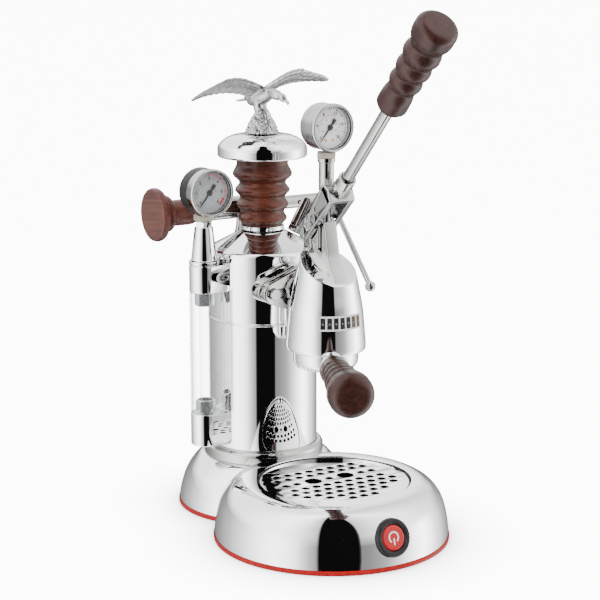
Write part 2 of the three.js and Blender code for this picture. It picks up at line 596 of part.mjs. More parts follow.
const GRIP = [
  [5.3, 155.5], [9, 155.5], [11, 157], [12, 161], [12.8, 168], [12.8, 175], [11.2, 179.4], [11.2, 180.6],
  [13.4, 184], [13.4, 188.6], [11.8, 192.6], [11.8, 194], [14.2, 198], [14.2, 203.6], [12.6, 207.6], [12.6, 209],
  [15.2, 213], [15.2, 219.6], [13.6, 224], [13.6, 225.4], [16, 229.6], [17.3, 236], [17.2, 242], [15.4, 247],
  [11, 249.4], [0, 250],
];
add('lever_fork', leverFork(), 'chrome');
add('lever_rod', onLever(rod(5, 56.5, 225)), 'chrome');
add('lever_grip', onLever(turn([...GRIP, [0, 225.5], [5.3, 225.5]], GRIP_SIDES)), 'wood');

// ---------- portafilter ----------
const handleWay = [-Math.sin(rad(PF_ANGLE)), -Math.cos(rad(PF_ANGLE)), 0];
const onHandle = (geometry) => aim(geometry, handleWay, [0, GROUP_Y, PF_Z]);
add('portafilter_body', cut(
  join(
    onGroup(turn([[0, 144.5], [20.5, 144.5], [24.5, 146], [27, 149.5], [27.4, 153], [27.4, 165.5], [0, 165.5]], 24)),
    onHandle(turn([[0, 20], [7.2, 20], [7.2, 32], [5, 38], [5, 100], [0, 100]], 14)),
  ),
  onGroup(turn([[0, 147.2], [23.4, 147.2], [25.8, 149.4], [25.8, 170], [0, 170]], 24)),
  onGroup(rod(3.5, 140, 150, 8)),
), 'chrome');
add('filter_basket', onGroup(turn([
  [0, 148.2], [23.8, 148.2], [25.3, 150], [25.3, 165.8], [27.2, 165.8], [27.2, 166.5], [24.7, 166.5], [24.7, 150.3],
  [23.4, 148.9], [0, 148.9],
], 24)), 'steel');
add('portafilter_ferrule', onHandle(turn([
  [5.3, 38.3], [8.4, 36.4], [11.2, 38.4], [11.8, 41.7], [5.3, 41.7],
])), 'chrome');
add('portafilter_handle', onHandle(turn([
  [5.3, 42], [11.8, 42], [12.6, 44], [12.6, 56], [11, 60], [11, 61.2], [13, 64.4], [13, 69], [11.4, 73], [11.4, 74.2],
  [14.2, 77.8], [14.2, 83], [12.6, 87], [12.6, 88.2], [15.4, 92], [15.4, 98], [13.6, 102], [13.6, 103.4],
  [16.6, 108], [18.6, 115], [18.6, 122], [16.8, 128], [12.4, 130.8], [0, 131.4], [0, 100.5], [5.3, 100.5],
], GRIP_SIDES)), 'wood');

export default machine;
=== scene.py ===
"""Looks for the lever espresso machine: fine meshes and procedural materials built round the CAD frame.

Lengths in this file are millimetres unless a name says otherwise; meshes are scaled to metres at the end.
Profiles are lists of (radius, height) turned about an axis. Heights on upright parts are above the table.
"""

import json
import math

import bmesh
import bpy
from mathutils import Matrix, Vector, noise
from mathutils.geometry import tessellate_polygon


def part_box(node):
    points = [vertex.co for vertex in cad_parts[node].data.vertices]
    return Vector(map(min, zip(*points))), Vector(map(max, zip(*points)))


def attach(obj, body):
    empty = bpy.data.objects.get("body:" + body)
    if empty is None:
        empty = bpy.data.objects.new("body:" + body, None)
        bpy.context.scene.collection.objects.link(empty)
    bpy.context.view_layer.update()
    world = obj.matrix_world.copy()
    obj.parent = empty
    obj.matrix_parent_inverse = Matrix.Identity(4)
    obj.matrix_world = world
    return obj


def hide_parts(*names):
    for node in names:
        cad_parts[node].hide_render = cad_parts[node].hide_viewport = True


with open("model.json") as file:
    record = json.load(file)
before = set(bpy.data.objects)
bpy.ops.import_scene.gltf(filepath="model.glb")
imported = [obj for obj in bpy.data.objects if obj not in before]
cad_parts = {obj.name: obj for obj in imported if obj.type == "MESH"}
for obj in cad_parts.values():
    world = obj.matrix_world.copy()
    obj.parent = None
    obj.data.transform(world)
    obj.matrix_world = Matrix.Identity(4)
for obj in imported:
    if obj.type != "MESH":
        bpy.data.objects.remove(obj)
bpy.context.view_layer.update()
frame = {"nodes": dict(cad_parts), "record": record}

MM = 0.001
# lengths under this count as nothing
CLOSE = 1e-6
# sides of large, middling and small turned pieces
FINE = 160
MEDIUM = 96
SMALL = 48
BODY_OF = {node: body for body, nodes in frame["record"]["behaviour"]["bodies"].items() for node in nodes}


# ---------------------------------------------------------------- places taken from the CAD frame
def corners(*nodes):
    boxes = [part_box(node) for node in nodes]
    low = Vector([min(box[0][i] for box in boxes) for i in range(3)]) / MM
    high = Vector([max(box[1][i] for box in boxes) for i in range(3)]) / MM
    return low, high


def middle(*nodes):
    low, high = corners(*nodes)
    return (low + high) / 2


def upright(point):
    return Matrix.Translation((point.x, point.y, 0))


def along(direction, point):
    turn = Vector((0, 0, 1)).rotation_difference(Vector(direction))
    return Matrix.Translation(point) @ turn.to_matrix().to_4x4()


def facing_front(x, y, z):
    """Local x and y become X and Z, and a plate grows from this Y towards the front."""
    return Matrix.Translation((x, y, z)) @ Matrix(((1, 0, 0), (0, 0, -1), (0, 1, 0))).to_4x4()


def raised(place, height):
    return place @ Matrix.Translation((0, 0, height))


def spot(place, radius, angle, z):
    """A point at a radius and angle (radians) round a place's own upright axis."""
    return place @ Vector((radius * math.cos(angle), radius * math.sin(angle), z))


BOILER = middle("boiler_shell")
GROUP = middle("cylinder_sleeve")
TRAY = middle("drip_tray")
SIGHT = middle("sight_tube")
FULCRUM = middle("fulcrum_pin")
PISTON_PIN = middle("piston_pin")
VALVE = middle("steam_spindle")
LOBE_R = corners("base_plate")[1].x + 2.5
LOBE = Vector((0, corners("base_plate")[0].y + corners("base_plate")[1].x, 0))
REAR_R = corners("base_plate")[1].y - BOILER.y + 2.5
ON_BOILER = upright(BOILER)
ON_GROUP = upright(GROUP)
ON_TRAY = upright(TRAY)
ON_LOBE = upright(LOBE)
ON_SIGHT = upright(SIGHT)
FORWARD = Vector((0, -1, 0))
RIGHT = Vector((1, 0, 0))


# ---------------------------------------------------------------- profiles and outlines
def flow(points, steps=7):
    """A smooth curve through every point of a polyline (Catmull-Rom)."""
    made = []
    spots = [Vector(p) for p in (points[0], *points, points[-1])]
    for a, b, c, d in zip(spots, spots[1:], spots[2:], spots[3:]):
        for k in range(steps):
            t = k / steps
            bend = (c - a) * t + (2 * a - 5 * b + 4 * c - d) * t ** 2 + (3 * b - a - 3 * c + d) * t ** 3
            made.append(tuple(b + bend / 2))
    return [*made, tuple(points[-1])]


def waves(turns, fullness=1.0, steps=12):
    """A turned outline that swings from point to point; low fullness makes fat ribs and thin grooves."""
    made = []
    for (r0, z0), (r1, z1) in zip(turns, turns[1:]):
        for k in range(steps):
            t = k / steps
            swing = (1 - math.cos(math.pi * t)) / 2
            share = swing ** fullness if r1 > r0 else 1 - (1 - swing) ** fullness
            made.append((r0 + (r1 - r0) * share, z0 + (z1 - z0) * t))
    return [*made, turns[-1]]


def soften(points, radius, steps=4):
    """Rounds each inner corner of a polyline with a small curve of about the given radius."""
    made = [tuple(points[0])]
    for before, corner, after in zip(points, points[1:], points[2:]):
        a, b, c = Vector(before), Vector(corner), Vector(after)
        back, ahead = a - b, c - b
        if min(back.length, ahead.length) < CLOSE:
            continue
        reach = min(radius, back.length * 0.45, ahead.length * 0.45)
        start = b + back.normalized() * reach
        end = b + ahead.normalized() * reach
        for k in range(steps + 1):
            t = k / steps
            made.append(tuple(start * (1 - t) ** 2 + b * 2 * t * (1 - t) + end * t * t))
    made.append(tuple(points[-1]))
    return made


def ring_profile(points, radius):
    """A closed profile with every corner softened."""
    half = [(points[0][0] + points[-1][0]) / 2, (points[0][1] + points[-1][1]) / 2]
    return soften([half, *points, half], radius)


def bar(outer, low, high, inner=0):
    """The profile of a plain bar, or of a tube when it has an inner radius."""
    return [(inner, low), (outer, low), (outer, high), (inner, high)]


def arc(cx, cy, radius, start, end, count):
    """Points on a circle; degrees, both ends included."""
    made = []
    for k in range(count + 1):
        angle = math.radians(start + (end - start) * k / count)
        made.append((cx + radius * math.cos(angle), cy + radius * math.sin(angle)))
    return made


def circle(cx, cy, radius, count=32):
    return arc(cx, cy, radius, 0, 360, count)[:-1]


def belt(circles, count=160):
    """The outline of a belt pulled round (x, y, radius) circles."""
    outline = []
    for k in range(count):
        angle = 2 * math.pi * k / count
        dx, dy = math.cos(angle), math.sin(angle)
        x, y, r = max(circles, key=lambda c: c[0] * dx + c[1] * dy + c[2])
        outline.append((x + r * dx, y + r * dy))
    return outline


def two_lobes(front_r, rear_r):
    """The outline of the front and rear circles of the base joined, anticlockwise."""
    span = BOILER.y - LOBE.y
    meet_y = (front_r ** 2 - rear_r ** 2 + span ** 2) / (2 * span)
    front_edge = math.degrees(math.atan2(meet_y, math.sqrt(front_r ** 2 - meet_y ** 2)))
    rear_edge = math.degrees(math.atan2(meet_y - span, math.sqrt(rear_r ** 2 - (meet_y - span) ** 2)))
    rear = arc(0, BOILER.y, rear_r, rear_edge, 180 - rear_edge, FINE // 2)
    front = arc(0, LOBE.y, front_r, 180 - front_edge, 360 + front_edge, FINE)
    return rear[:-1] + front[:-1]


# ---------------------------------------------------------------- mesh builders
def lathe(bm, profile, place=Matrix(), sides=MEDIUM, mat=0):
    """A profile turned about its place's upright axis; it starts and ends on the axis or closes on itself."""
    rings = []
    closed = (Vector(profile[0]) - Vector(profile[-1])).length < CLOSE and profile[0][0] > CLOSE
    for r, z in profile[:-1] if closed else profile:
        if r < CLOSE:
            rings.append([bm.verts.new(place @ Vector((0, 0, z)))])
            continue
        rings.append([bm.verts.new(spot(place, r, 2 * math.pi * k / sides, z)) for k in range(sides)])
    if closed:
        rings.append(rings[0])
    for low, high in zip(rings, rings[1:]):
        for k in range(sides):
            quad = [ring[j % len(ring)] for ring, j in ((low, k), (low, k + 1), (high, k + 1), (high, k))]
            face = list(dict.fromkeys(quad))
            if len(face) > 2:
                bm.faces.new(face).material_index = mat


def inset(loop, distance, inward):
    """A loop moved sideways by a distance, towards its inside or away from it."""
    area = sum(ax * by - bx * ay for (ax, ay), (bx, by) in zip(loop, loop[1:] + loop[:1]))
    side = distance if (area > 0) == inward else -distance
    moved = []
    for k, point in enumerate(loop):
        a, b, c = Vector(loop[k - 1]), Vector(point), Vector(loop[(k + 1) % len(loop)])
        first, second = (b - a).normalized(), (c - b).normalized()
        mean = (first.orthogonal() + second.orthogonal()).normalized()
        stretch = max(0.5, mean.dot(first.orthogonal()))
        moved.append(tuple(b + mean * side / stretch))
    return moved


def plate(bm, loops, thickness, place=Matrix(), bevel=0.3, mat=0, steps=3):
    """A flat plate from an outline and its holes, its edges rounded, lying on z = 0 of its place."""
    bevel = min(bevel, thickness * 0.49)
    profile = []
    for k in range(steps + 1):
        angle = math.pi / 2 * k / steps
        profile.append((bevel * (1 - math.sin(angle)), bevel * (1 - math.cos(angle))))
    layers = [(off, z) for off, z in profile] + [(off, thickness - z) for off, z in reversed(profile)]
    caps = {0: [], len(layers) - 1: []}
    for index, loop in enumerate(loops):
        rings = []
        for off, z in layers:
            moved = inset(loop, off, index == 0) if off > CLOSE else loop
            rings.append([bm.verts.new(place @ Vector((x, y, z))) for x, y in moved])
        for low, high in zip(rings, rings[1:]):
            for k in range(len(low)):
                j = (k + 1) % len(low)
                bm.faces.new((low[k], low[j], high[j], high[k])).material_index = mat
        for level in caps:
            caps[level].append(rings[level])
    for level, rings in caps.items():
        flat = [vert for ring in rings for vert in ring]
        local = place.inverted()
        for triangle in tessellate_polygon([[local @ vert.co for vert in ring] for ring in rings]):
            bm.faces.new([flat[i] for i in triangle]).material_index = mat


def shell_loft(bm, rings, mat=0, closed=False):
    """Quads between rings of equal length; the ends are filled unless the rings close up."""
    verts = [[bm.verts.new(point) for point in ring] for ring in rings]
    pairs = list(zip(verts, verts[1:]))
    if closed:
        pairs.append((verts[-1], verts[0]))
    for low, high in pairs:
        for k in range(len(low)):
            j = (k + 1) % len(low)
            bm.faces.new((low[k], low[j], high[j], high[k])).material_index = mat
    if not closed:
        bm.faces.new(verts[0]).material_index = mat
        bm.faces.new(verts[-1]).material_index = mat


def pipe(bm, path, radius, sides):
    """A round bar along a path of points, its ends closed."""
    rings = []
    for k, point in enumerate(path):
        ahead = path[min(k + 1, len(path) - 1)] - path[max(k - 1, 0)]
        place = along(ahead, point)
        rings.append([spot(place, radius, 2 * math.pi * i / sides, 0) for i in range(sides)])
    shell_loft(bm, rings)


def add_object(name, data):
    piece = bpy.data.objects.new(name, data)
    bpy.context.collection.objects.link(piece)
    return piece


def solid_object(bm, name):
    """An object made from a working mesh, its faces turned outwards."""
    bmesh.ops.recalc_face_normals(bm, faces=bm.faces)
    mesh = bpy.data.meshes.new(name)
    bm.to_mesh(mesh)
    bm.free()
    return add_object(name, mesh)


def finished_mesh(piece):
    """The mesh of an object after its modifiers."""
    return piece.evaluated_get(bpy.context.evaluated_depsgraph_get()).to_mesh()


def make(bm, node, *finishes, crease=32):
    """A finished mesh stands for a CAD node, in metres, and takes its place, body and slot."""
    bmesh.ops.transform(bm, matrix=Matrix.Scale(MM, 4), verts=bm.verts)
    piece = solid_object(bm, f"{node}_look")
    mesh = piece.data
    mesh.polygons.foreach_set("use_smooth", [True] * len(mesh.polygons))
    mesh.set_sharp_from_angle(angle=math.radians(crease))
    mesh.update()
    for finish in finishes:
        mesh.materials.append(finish)
    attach(piece, BODY_OF[node])
    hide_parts(node)


def turned(node, finish, profile, place=Matrix(), sides=MEDIUM, radius=0.35):
    """One turned piece whose profile corners are softened."""
    bm = bmesh.new()
    closed = profile[0][0] > CLOSE
    lathe(bm, ring_profile(profile, radius) if closed else soften(profile, radius), place, sides)
    make(bm, node, finish)


def flat(node, finish, loops, thickness, place, bevel=0.3, edge_steps=3):
    """One flat plate as a piece of its own."""
    bm = bmesh.new()
    plate(bm, loops, thickness, place, bevel, steps=edge_steps)
    make(bm, node, finish)


def carve(solid, cutter, operation="DIFFERENCE"):
    """The mesh left when the second solid is taken from, or joined to, the first."""
    pieces = [solid_object(solid, "solid"), solid_object(cutter, "cutter")]
    cut = pieces[0].modifiers.new("cut", "BOOLEAN")
    cut.object = pieces[1]
    cut.operation = operation
    cut.solver = "EXACT"
    result = bmesh.new()
    result.from_mesh(finished_mesh(pieces[0]))
    for piece in pieces:
        bpy.data.objects.remove(piece)
    return result


# ---------------------------------------------------------------- materials
def wire(tree, node, inputs):
    """Each named input takes a plain value or another node's output."""
    for name, value in inputs.items():
        if isinstance(value, bpy.types.NodeSocket):
            tree.links.new(value, node.inputs[name])
        else:
            node.inputs[name].default_value = value
    return node


def add_node(tree, kind, inputs):
    return wire(tree, tree.nodes.new(kind), inputs)


def arithmetic(tree, operation, *values):
    node = tree.nodes.new("ShaderNodeMath")
    node.operation = operation
    return wire(tree, node, dict(enumerate(values))).outputs[0]


def blend(tree, share, below, above, kind="RGBA"):
    node = tree.nodes.new("ShaderNodeMix")
    node.data_type = kind
    return wire(tree, node, {"Factor": share, "A": below, "B": above}).outputs["Result"]


def tree_of(name):
    finish = bpy.data.materials.new(name)
    finish.use_nodes = True
    tree = finish.node_tree
    return finish, tree, tree.nodes["Principled BSDF"]


def coordinates(tree, stretch=(1, 1, 1)):
    source = tree.nodes.new("ShaderNodeTexCoord")
    inputs = {"Vector": source.outputs["Object"], "Scale": stretch}
    return add_node(tree, "ShaderNodeMapping", inputs).outputs["Vector"]


def grain(tree, where, scale, detail=4, distortion=0.0):
    inputs = {"Vector": where, "Scale": scale, "Detail": detail, "Distortion": distortion}
    return add_node(tree, "ShaderNodeTexNoise", inputs).outputs["Fac"]


def spread(tree, value, low, high, start=0.3, end=0.7):
    inputs = {"Value": value, "From Min": start, "From Max": end, "To Min": low, "To Max": high}
    return add_node(tree, "ShaderNodeMapRange", inputs).outputs["Result"]


def ramp(tree, value, stops):
    node = add_node(tree, "ShaderNodeValToRGB", {"Fac": value})
    band = node.color_ramp
    while len(band.elements) < len(stops):
        band.elements.new(0.5)
    for element, (place, colour) in zip(band.elements, stops):
        element.position = place
        element.color = (*colour, 1)
    return node.outputs["Color"]


def tone(tree, value, dark, light):
    return ramp(tree, value, [(0.3, dark), (0.7, light)])


def bump(tree, shader, height, strength, distance_m):
    inputs = {"Height": height, "Strength": strength, "Distance": distance_m}
    wire(tree, shader, {"Normal": add_node(tree, "ShaderNodeBump", inputs).outputs["Normal"]})


def metal(name, dark, light, smooth, rough, stretch=(1, 1, 1), scale=60, relief=0.0, fine=900, metallic=1.0):
    """Metal whose tone and polish wander a little, with an optional fine relief."""
    finish, tree, shader = tree_of(name)
    where = coordinates(tree, stretch)
    wire(tree, shader, {
        "Base Color": tone(tree, grain(tree, where, scale), dark, light),
        "Roughness": spread(tree, grain(tree, where, scale * 3, 6), smooth, rough),
        "Metallic": metallic,
    })
    if relief:
        bump(tree, shader, grain(tree, where, fine, 3), relief, 0.0002)
    return finish


def dielectric(name, dark, light, smooth, rough, scale=200, relief=0.1, fine=1500, coat=0.0):
    """Plastic, rubber or paint with a faint mottle and a very fine relief."""
    finish, tree, shader = tree_of(name)
    where = coordinates(tree)
    wire(tree, shader, {
        "Base Color": tone(tree, grain(tree, where, scale), dark, light),
        "Roughness": spread(tree, grain(tree, where, scale * 2), smooth, rough),
        "Specular IOR Level": 0.15,
        "Coat Weight": coat,
    })
    bump(tree, shader, grain(tree, where, fine, 3), relief, 0.0001)
    return finish


def wood(name, tones, direction):
    """Turned hardwood: long fibres along one direction, broken by darker pores, under a satin lacquer."""
    finish, tree, shader = tree_of(name)
    align = Vector((0, 0, 1)).rotation_difference(Vector(direction)).inverted().to_euler()
    source = tree.nodes.new("ShaderNodeTexCoord")
    turn = add_node(tree, "ShaderNodeMapping", {"Vector": source.outputs["Object"], "Rotation": align})
    squeeze = add_node(tree, "ShaderNodeMapping", {"Vector": turn.outputs["Vector"], "Scale": (1, 1, 0.04)})
    fibre = grain(tree, squeeze.outputs["Vector"], 700, 5, 0.3)
    band = grain(tree, squeeze.outputs["Vector"], 160, 3, 0.6)
    both = arithmetic(tree, "MULTIPLY_ADD", fibre, 0.5, arithmetic(tree, "MULTIPLY", band, 0.5))
    dark, mid, light = tones
    wire(tree, shader, {
        "Base Color": ramp(tree, both, [(0.36, dark), (0.5, mid), (0.64, light)]),
        "Roughness": spread(tree, fibre, 0.28, 0.42),
        "Specular IOR Level": 0.22,
        "Coat Weight": 0.08,
        "Coat Roughness": 0.22,
    })
    bump(tree, shader, fibre, 0.12, 0.0002)
    return finish


def clear(name, tint, facing=0.015, grazing=0.6, rough=0.02):
    """Thin clear sheet: nearly invisible face on, mirror-like at a glancing angle, faintly smeared."""
    finish, tree, shader = tree_of(name)
    smear = grain(tree, coordinates(tree), 40)
    edge = add_node(tree, "ShaderNodeLayerWeight", {"Blend": 0.25})
    wire(tree, shader, {
        "Base Color": tone(tree, smear, tint, tuple(min(1, c * 1.02) for c in tint)),
        "Roughness": spread(tree, smear, rough, rough + 0.03),
        "Alpha": spread(tree, edge.outputs["Facing"], facing, grazing, 0.1, 0.9),
        "Specular IOR Level": 1.0,
    })
    return finish


CHROME = metal("polished_chrome", (0.86, 0.865, 0.87), (0.9, 0.9, 0.905), 0.012, 0.03)
FORGED = metal("polished_nickel", (0.36, 0.355, 0.345), (0.43, 0.425, 0.415), 0.05, 0.1)
SATIN = metal("satin_metal", (0.36, 0.36, 0.365), (0.42, 0.42, 0.425), 0.2, 0.27, (1, 1, 0.3), 90)
EAGLE = metal("eagle_metal", (0.34, 0.34, 0.345), (0.44, 0.44, 0.445), 0.24, 0.36, (1, 1, 1), 160, 0.06, 500)
STEEL = metal("stainless_steel", (0.3, 0.3, 0.305), (0.38, 0.38, 0.385), 0.14, 0.26, (1, 1, 0.2), 200, 0.04)
NICKEL = metal("nickelled_brass", (0.5, 0.45, 0.37), (0.6, 0.55, 0.46), 0.42, 0.55, (1, 1, 1), 150, 0.05,
               metallic=0.35)
BLACK = dielectric("black_plastic", (0.012, 0.012, 0.013), (0.025, 0.025, 0.027), 0.32, 0.5)
SEAL = dielectric("seal_rubber", (0.01, 0.01, 0.01), (0.025, 0.025, 0.025), 0.55, 0.75)
RED_RUBBER = dielectric("red_rubber", (0.3, 0.005, 0.005), (0.4, 0.01, 0.009), 0.38, 0.55)
RED = dielectric("red_plastic", (0.36, 0.004, 0.005), (0.46, 0.007, 0.008), 0.12, 0.24, 120, 0.03, 900, 0.5)
WHITE = dielectric("white_print", (0.8, 0.8, 0.79), (0.88, 0.88, 0.87), 0.35, 0.5, 300, 0.02)
BLACK_PAINT = dielectric("black_paint", (0.008, 0.008, 0.009), (0.02, 0.02, 0.022), 0.35, 0.5, 300, 0.03)
RED_PAINT = dielectric("red_print", (0.5, 0.02, 0.03), (0.62, 0.04, 0.05), 0.4, 0.5, 300, 0.02)
PINK_PAINT = dielectric("pale_red_print", (0.7, 0.1, 0.14), (0.78, 0.16, 0.2), 0.4, 0.5, 300, 0.02)
GOLD_PAINT = dielectric("gold_print", (0.6, 0.3, 0.08), (0.72, 0.4, 0.12), 0.35, 0.5, 300, 0.02)
GREY_DIAL = dielectric("silver_dial", (0.3, 0.31, 0.32), (0.4, 0.41, 0.42), 0.35, 0.5, 400, 0.02)
WHITE_DIAL = dielectric("white_dial", (0.88, 0.88, 0.87), (0.94, 0.94, 0.93), 0.35, 0.5, 400, 0.02)
GLASS = clear("clear_glass", (0.97, 0.98, 0.98))
PERSPEX = clear("clear_plastic", (0.5, 0.52, 0.54), 0.1, 0.95, 0.03)
WOOD_TONES = ((0.019, 0.0052, 0.0038), (0.029, 0.0082, 0.0058), (0.042, 0.0125, 0.009))
CAP_TONES = ((0.034, 0.0075, 0.004), (0.066, 0.0155, 0.0082), (0.105, 0.028, 0.015))
KNOB_TONES = ((0.06, 0.018, 0.0125), (0.1, 0.033, 0.024), (0.14, 0.052, 0.039))


# ---------------------------------------------------------------- base
SWITCH_TILT = math.radians(18)
SWITCH_WAY = Vector((0, -math.cos(SWITCH_TILT), math.sin(SWITCH_TILT)))
BUTTON_FACE = middle("power_button") + SWITCH_WAY * 3.7
ON_SWITCH = along(SWITCH_WAY, BUTTON_FACE - SWITCH_WAY * 1.7)
SHELL_FOOT = 1.6
WELL_R = 64.8
SOCKET_R = 16.1
GRILLE_R = 62.8
GRILLE_THICK = 1.1
DRAIN_R = 3.6
FINGER_R = 7.3
FINGER_X = 16
# rows of drain holes: distance behind the tray's middle, and the holes' distances from its centre line
GRILLE_ROWS = (
    (-45.5, (0, 10.65)), (-35.7, (5.33, 16, 26.7)), (-25.8, (0, 10.65, 21.3, 32, 42.6)),
    (-15.8, (5.33, 16, 26.6, 37.3, 48)), (-5.8, (0, 10.65, 21.3, 32, 42.6)), (8, (0, 32, 42.6)),
    (22, (0, 10.65, 21.3, 32, 42.6)), (32.2, (5.33, 16, 26.6, 37.3)),
)


def base_shell():
    front = [(0, 50.3), (68, 50.3), (74, 49.8), (79, 48.3), (85, 44.8), (90, 39.6), (93.8, 33), (96.4, 25),
             (98, 17), (99, 9), (99.2, SHELL_FOOT)]
    rear = [(0, 46.3), (53.8, 46.3), (57.5, 44.6), (62, 40), (67, 33), (70.8, 25), (73.6, 16), (75.2, 8),
            (75.5, SHELL_FOOT)]
    forward, behind, well, socket = bmesh.new(), bmesh.new(), bmesh.new(), bmesh.new()
    lathe(forward, [front[0], *flow(front[1:]), (0, SHELL_FOOT)], ON_LOBE, 288)
    lathe(behind, [rear[0], *flow(rear[1:]), (0, SHELL_FOOT)], ON_BOILER, 224)
    lathe(well, bar(WELL_R, 20, 60), ON_TRAY, 192)
    lathe(socket, bar(SOCKET_R, -18.3, 20), ON_SWITCH)
    body = carve(forward, behind, "UNION")
    make(carve(carve(body, well), socket), "base_shell", CHROME, crease=28)


def base_trim():
    section = [(-6, 0.2), (-5.5, 0), (0.2, 0), (0.65, 0.5), (0.8, 1.6), (0.8, 3), (0.55, 3.7), (0.3, 3.9),
               (0.3, 1.3), (-6, 1.3)]
    bm = bmesh.new()
    rings = [[Vector((x, y, z)) for x, y in two_lobes(LOBE_R + out, REAR_R + out)] for out, z in section]
    shell_loft(bm, rings, closed=True)
    make(bm, "base_trim", RED_RUBBER)


def drip_tray():
    turned("drip_tray", BLACK, [
        (0, 22), (61.5, 22), (63, 23.5), (63, 45.3), (64.4, 45.3), (64.4, 48.4), (63.8, 48.4), (63.8, 46.5),
        (61.8, 46.5), (61.8, 24.7), (60.6, 23.5), (0, 23.5),
    ], ON_TRAY, FINE)


def drip_grille():
    """A thin disc with two finger holes and rows of drain holes, the same on both sides."""
    holes = [circle(side, 8, FINGER_R, 40)[::-1] for side in (-FINGER_X, FINGER_X)]
    for behind, offsets in GRILLE_ROWS:
        for offset in offsets:
            for side in sorted({-offset, offset}):
                holes.append(circle(side, behind, DRAIN_R, 28)[::-1])
    lying = raised(ON_TRAY, corners("drip_grille")[1].z - GRILLE_THICK)
    flat("drip_grille", CHROME, [circle(0, 0, GRILLE_R, FINE), *holes], GRILLE_THICK, lying, 0.2)


def switch():
    """The round housing and its push button, which carries a plain power symbol."""
    turned("switch_housing", BLACK, [
        (0, -18), (15.8, -18), (15.8, 0.6), (15.4, 1.6), (14.6, 2.3), (13, 2.4), (11.6, 2.1), (10.9, 1.4),
        (10.9, -9), (0, -9),
    ], ON_SWITCH)
    button = [(0, -5.7), (10.5, -5.7), (10.5, 0.9), (9.8, 1.5), (9, 1.62), (0, 1.62)]
    bm = bmesh.new()
    lathe(bm, soften(button, 0.5), ON_SWITCH)
    axes = Matrix((RIGHT, RIGHT.cross(SWITCH_WAY), SWITCH_WAY)).transposed()
    face = Matrix.Translation(BUTTON_FACE - SWITCH_WAY * 0.12) @ axes.to_4x4()
    ring = arc(0, -0.3, 4.9, 128, 412, 48) + arc(0, -0.3, 3.7, 412, 128, 48)
    bar = [(-0.6, 0.4), (0.6, 0.4), (0.6, 5.9), (-0.6, 5.9)]
    for outline in (ring, bar):
        plate(bm, [outline], 0.1, face, 0.02, 1, 1)
    make(bm, "power_button", RED, WHITE)


# ---------------------------------------------------------------- boiler, cap and eagle
def boiler():
    turned("boiler_base_ring", FORGED, [
        (47.9, 50), (41, 50), (41, 46.6), (53.2, 46.6), (53.2, 53.2), (52.6, 55), (51, 56.6), (49, 57.1),
        (47.9, 57.1),
    ], ON_BOILER, FINE, 0.5)
    turned("boiler_shell", CHROME, [
        (45.1, 50.3), (47.6, 50.3), (47.6, 168.9), (48.25, 169.4), (48.25, 170.6), (47.6, 171.1),
        (47.6, 227.8), (47.2, 230), (45.9, 231.5), (19.5, 245.4), (13.6, 245.4), (13.6, 237), (16.5, 237),
        (16.5, 243.6), (44, 229), (45.1, 227.6),
    ], ON_BOILER, 224, 1.1)


def cap():
    turned("cap_gasket", SEAL, bar(17.6, 245.75, 246.6, 14.2), ON_BOILER, SMALL, 0.2)
    turned("cap_plug", CHROME, [
        (0, 234), (13.2, 234), (13.2, 246.9), (18.8, 246.9), (18.8, 250.2), (3.9, 250.2), (3.9, 322),
        (0, 322),
    ], ON_BOILER)
    grip = waves([
        (17.6, 250.5), (21.4, 256.3), (18.9, 262.2), (22.6, 268.4), (19.6, 274.6), (23.9, 281.1),
        (20.3, 287.4), (25.9, 295), (22.4, 304.5), (22.6, 309.7),
    ])
    bm = bmesh.new()
    lathe(bm, [(4.2, 250.5), *grip, (4.2, 309.7), (4.2, 250.5)], ON_BOILER, FINE)
    make(bm, "cap_grip", wood("cap_wood", CAP_TONES, (0.85, -0.52, 0)), crease=60)
    turned("cap_disc", CHROME, [
        (0, 322.3), (4.2, 322.3), (4.2, 310), (37.6, 310), (39, 311.2), (39, 317.6), (38.2, 320),
        (35.6, 323.2), (31.5, 326.2), (26, 328.4), (22, 329.2), (21.4, 329.0), (20.6, 329.0), (20, 329.5),
        (0, 329.9),
    ], ON_BOILER, FINE, 0.9)


EAGLE_FOOT = 330.3
ROCK_TOP = 350
WING_ROOT = 360
WING_SPAN = 68.4
WING_STATIONS = 56
FEATHERS = 11
HEADING = math.radians(13)
# the eagle's rounded lumps: half sizes, place and tilt in degrees
LUMPS = (
    ((6.8, 17, 7.2), (0, 2, 361), -18), ((4.6, 9.5, 4.6), (0, -16, 364.6), 12),
    ((3.5, 5.4, 3.5), (0, -25, 362.6), 30), ((1.5, 3.6, 1.7), (0, -29.6, 360.2), 48),
    ((1.2, 1.6, 2.2), (0, -32, 358.3), 10), ((5.4, 9, 5), (0, 12, 359.5), 6),
    ((3.2, 4.4, 8.6), (-3, 2.5, 353.5), -8), ((3.2, 4.4, 8.6), (3, 2.5, 353.5), -8),
)


def blob(bm, size, at, tilt):
    """An egg-shaped lump facing the eagle's way; tilt lifts its far end."""
    place = Matrix.Translation(at) @ Matrix.Rotation(HEADING, 4, "Z") @ Matrix.Rotation(tilt, 4, "X")
    profile = [(math.sin(math.pi * k / 16), -math.cos(math.pi * k / 16)) for k in range(17)]
    profile[0], profile[-1] = (0, -1), (0, 1)
    lathe(bm, profile, place @ Matrix.Diagonal((*size, 1)), 24)


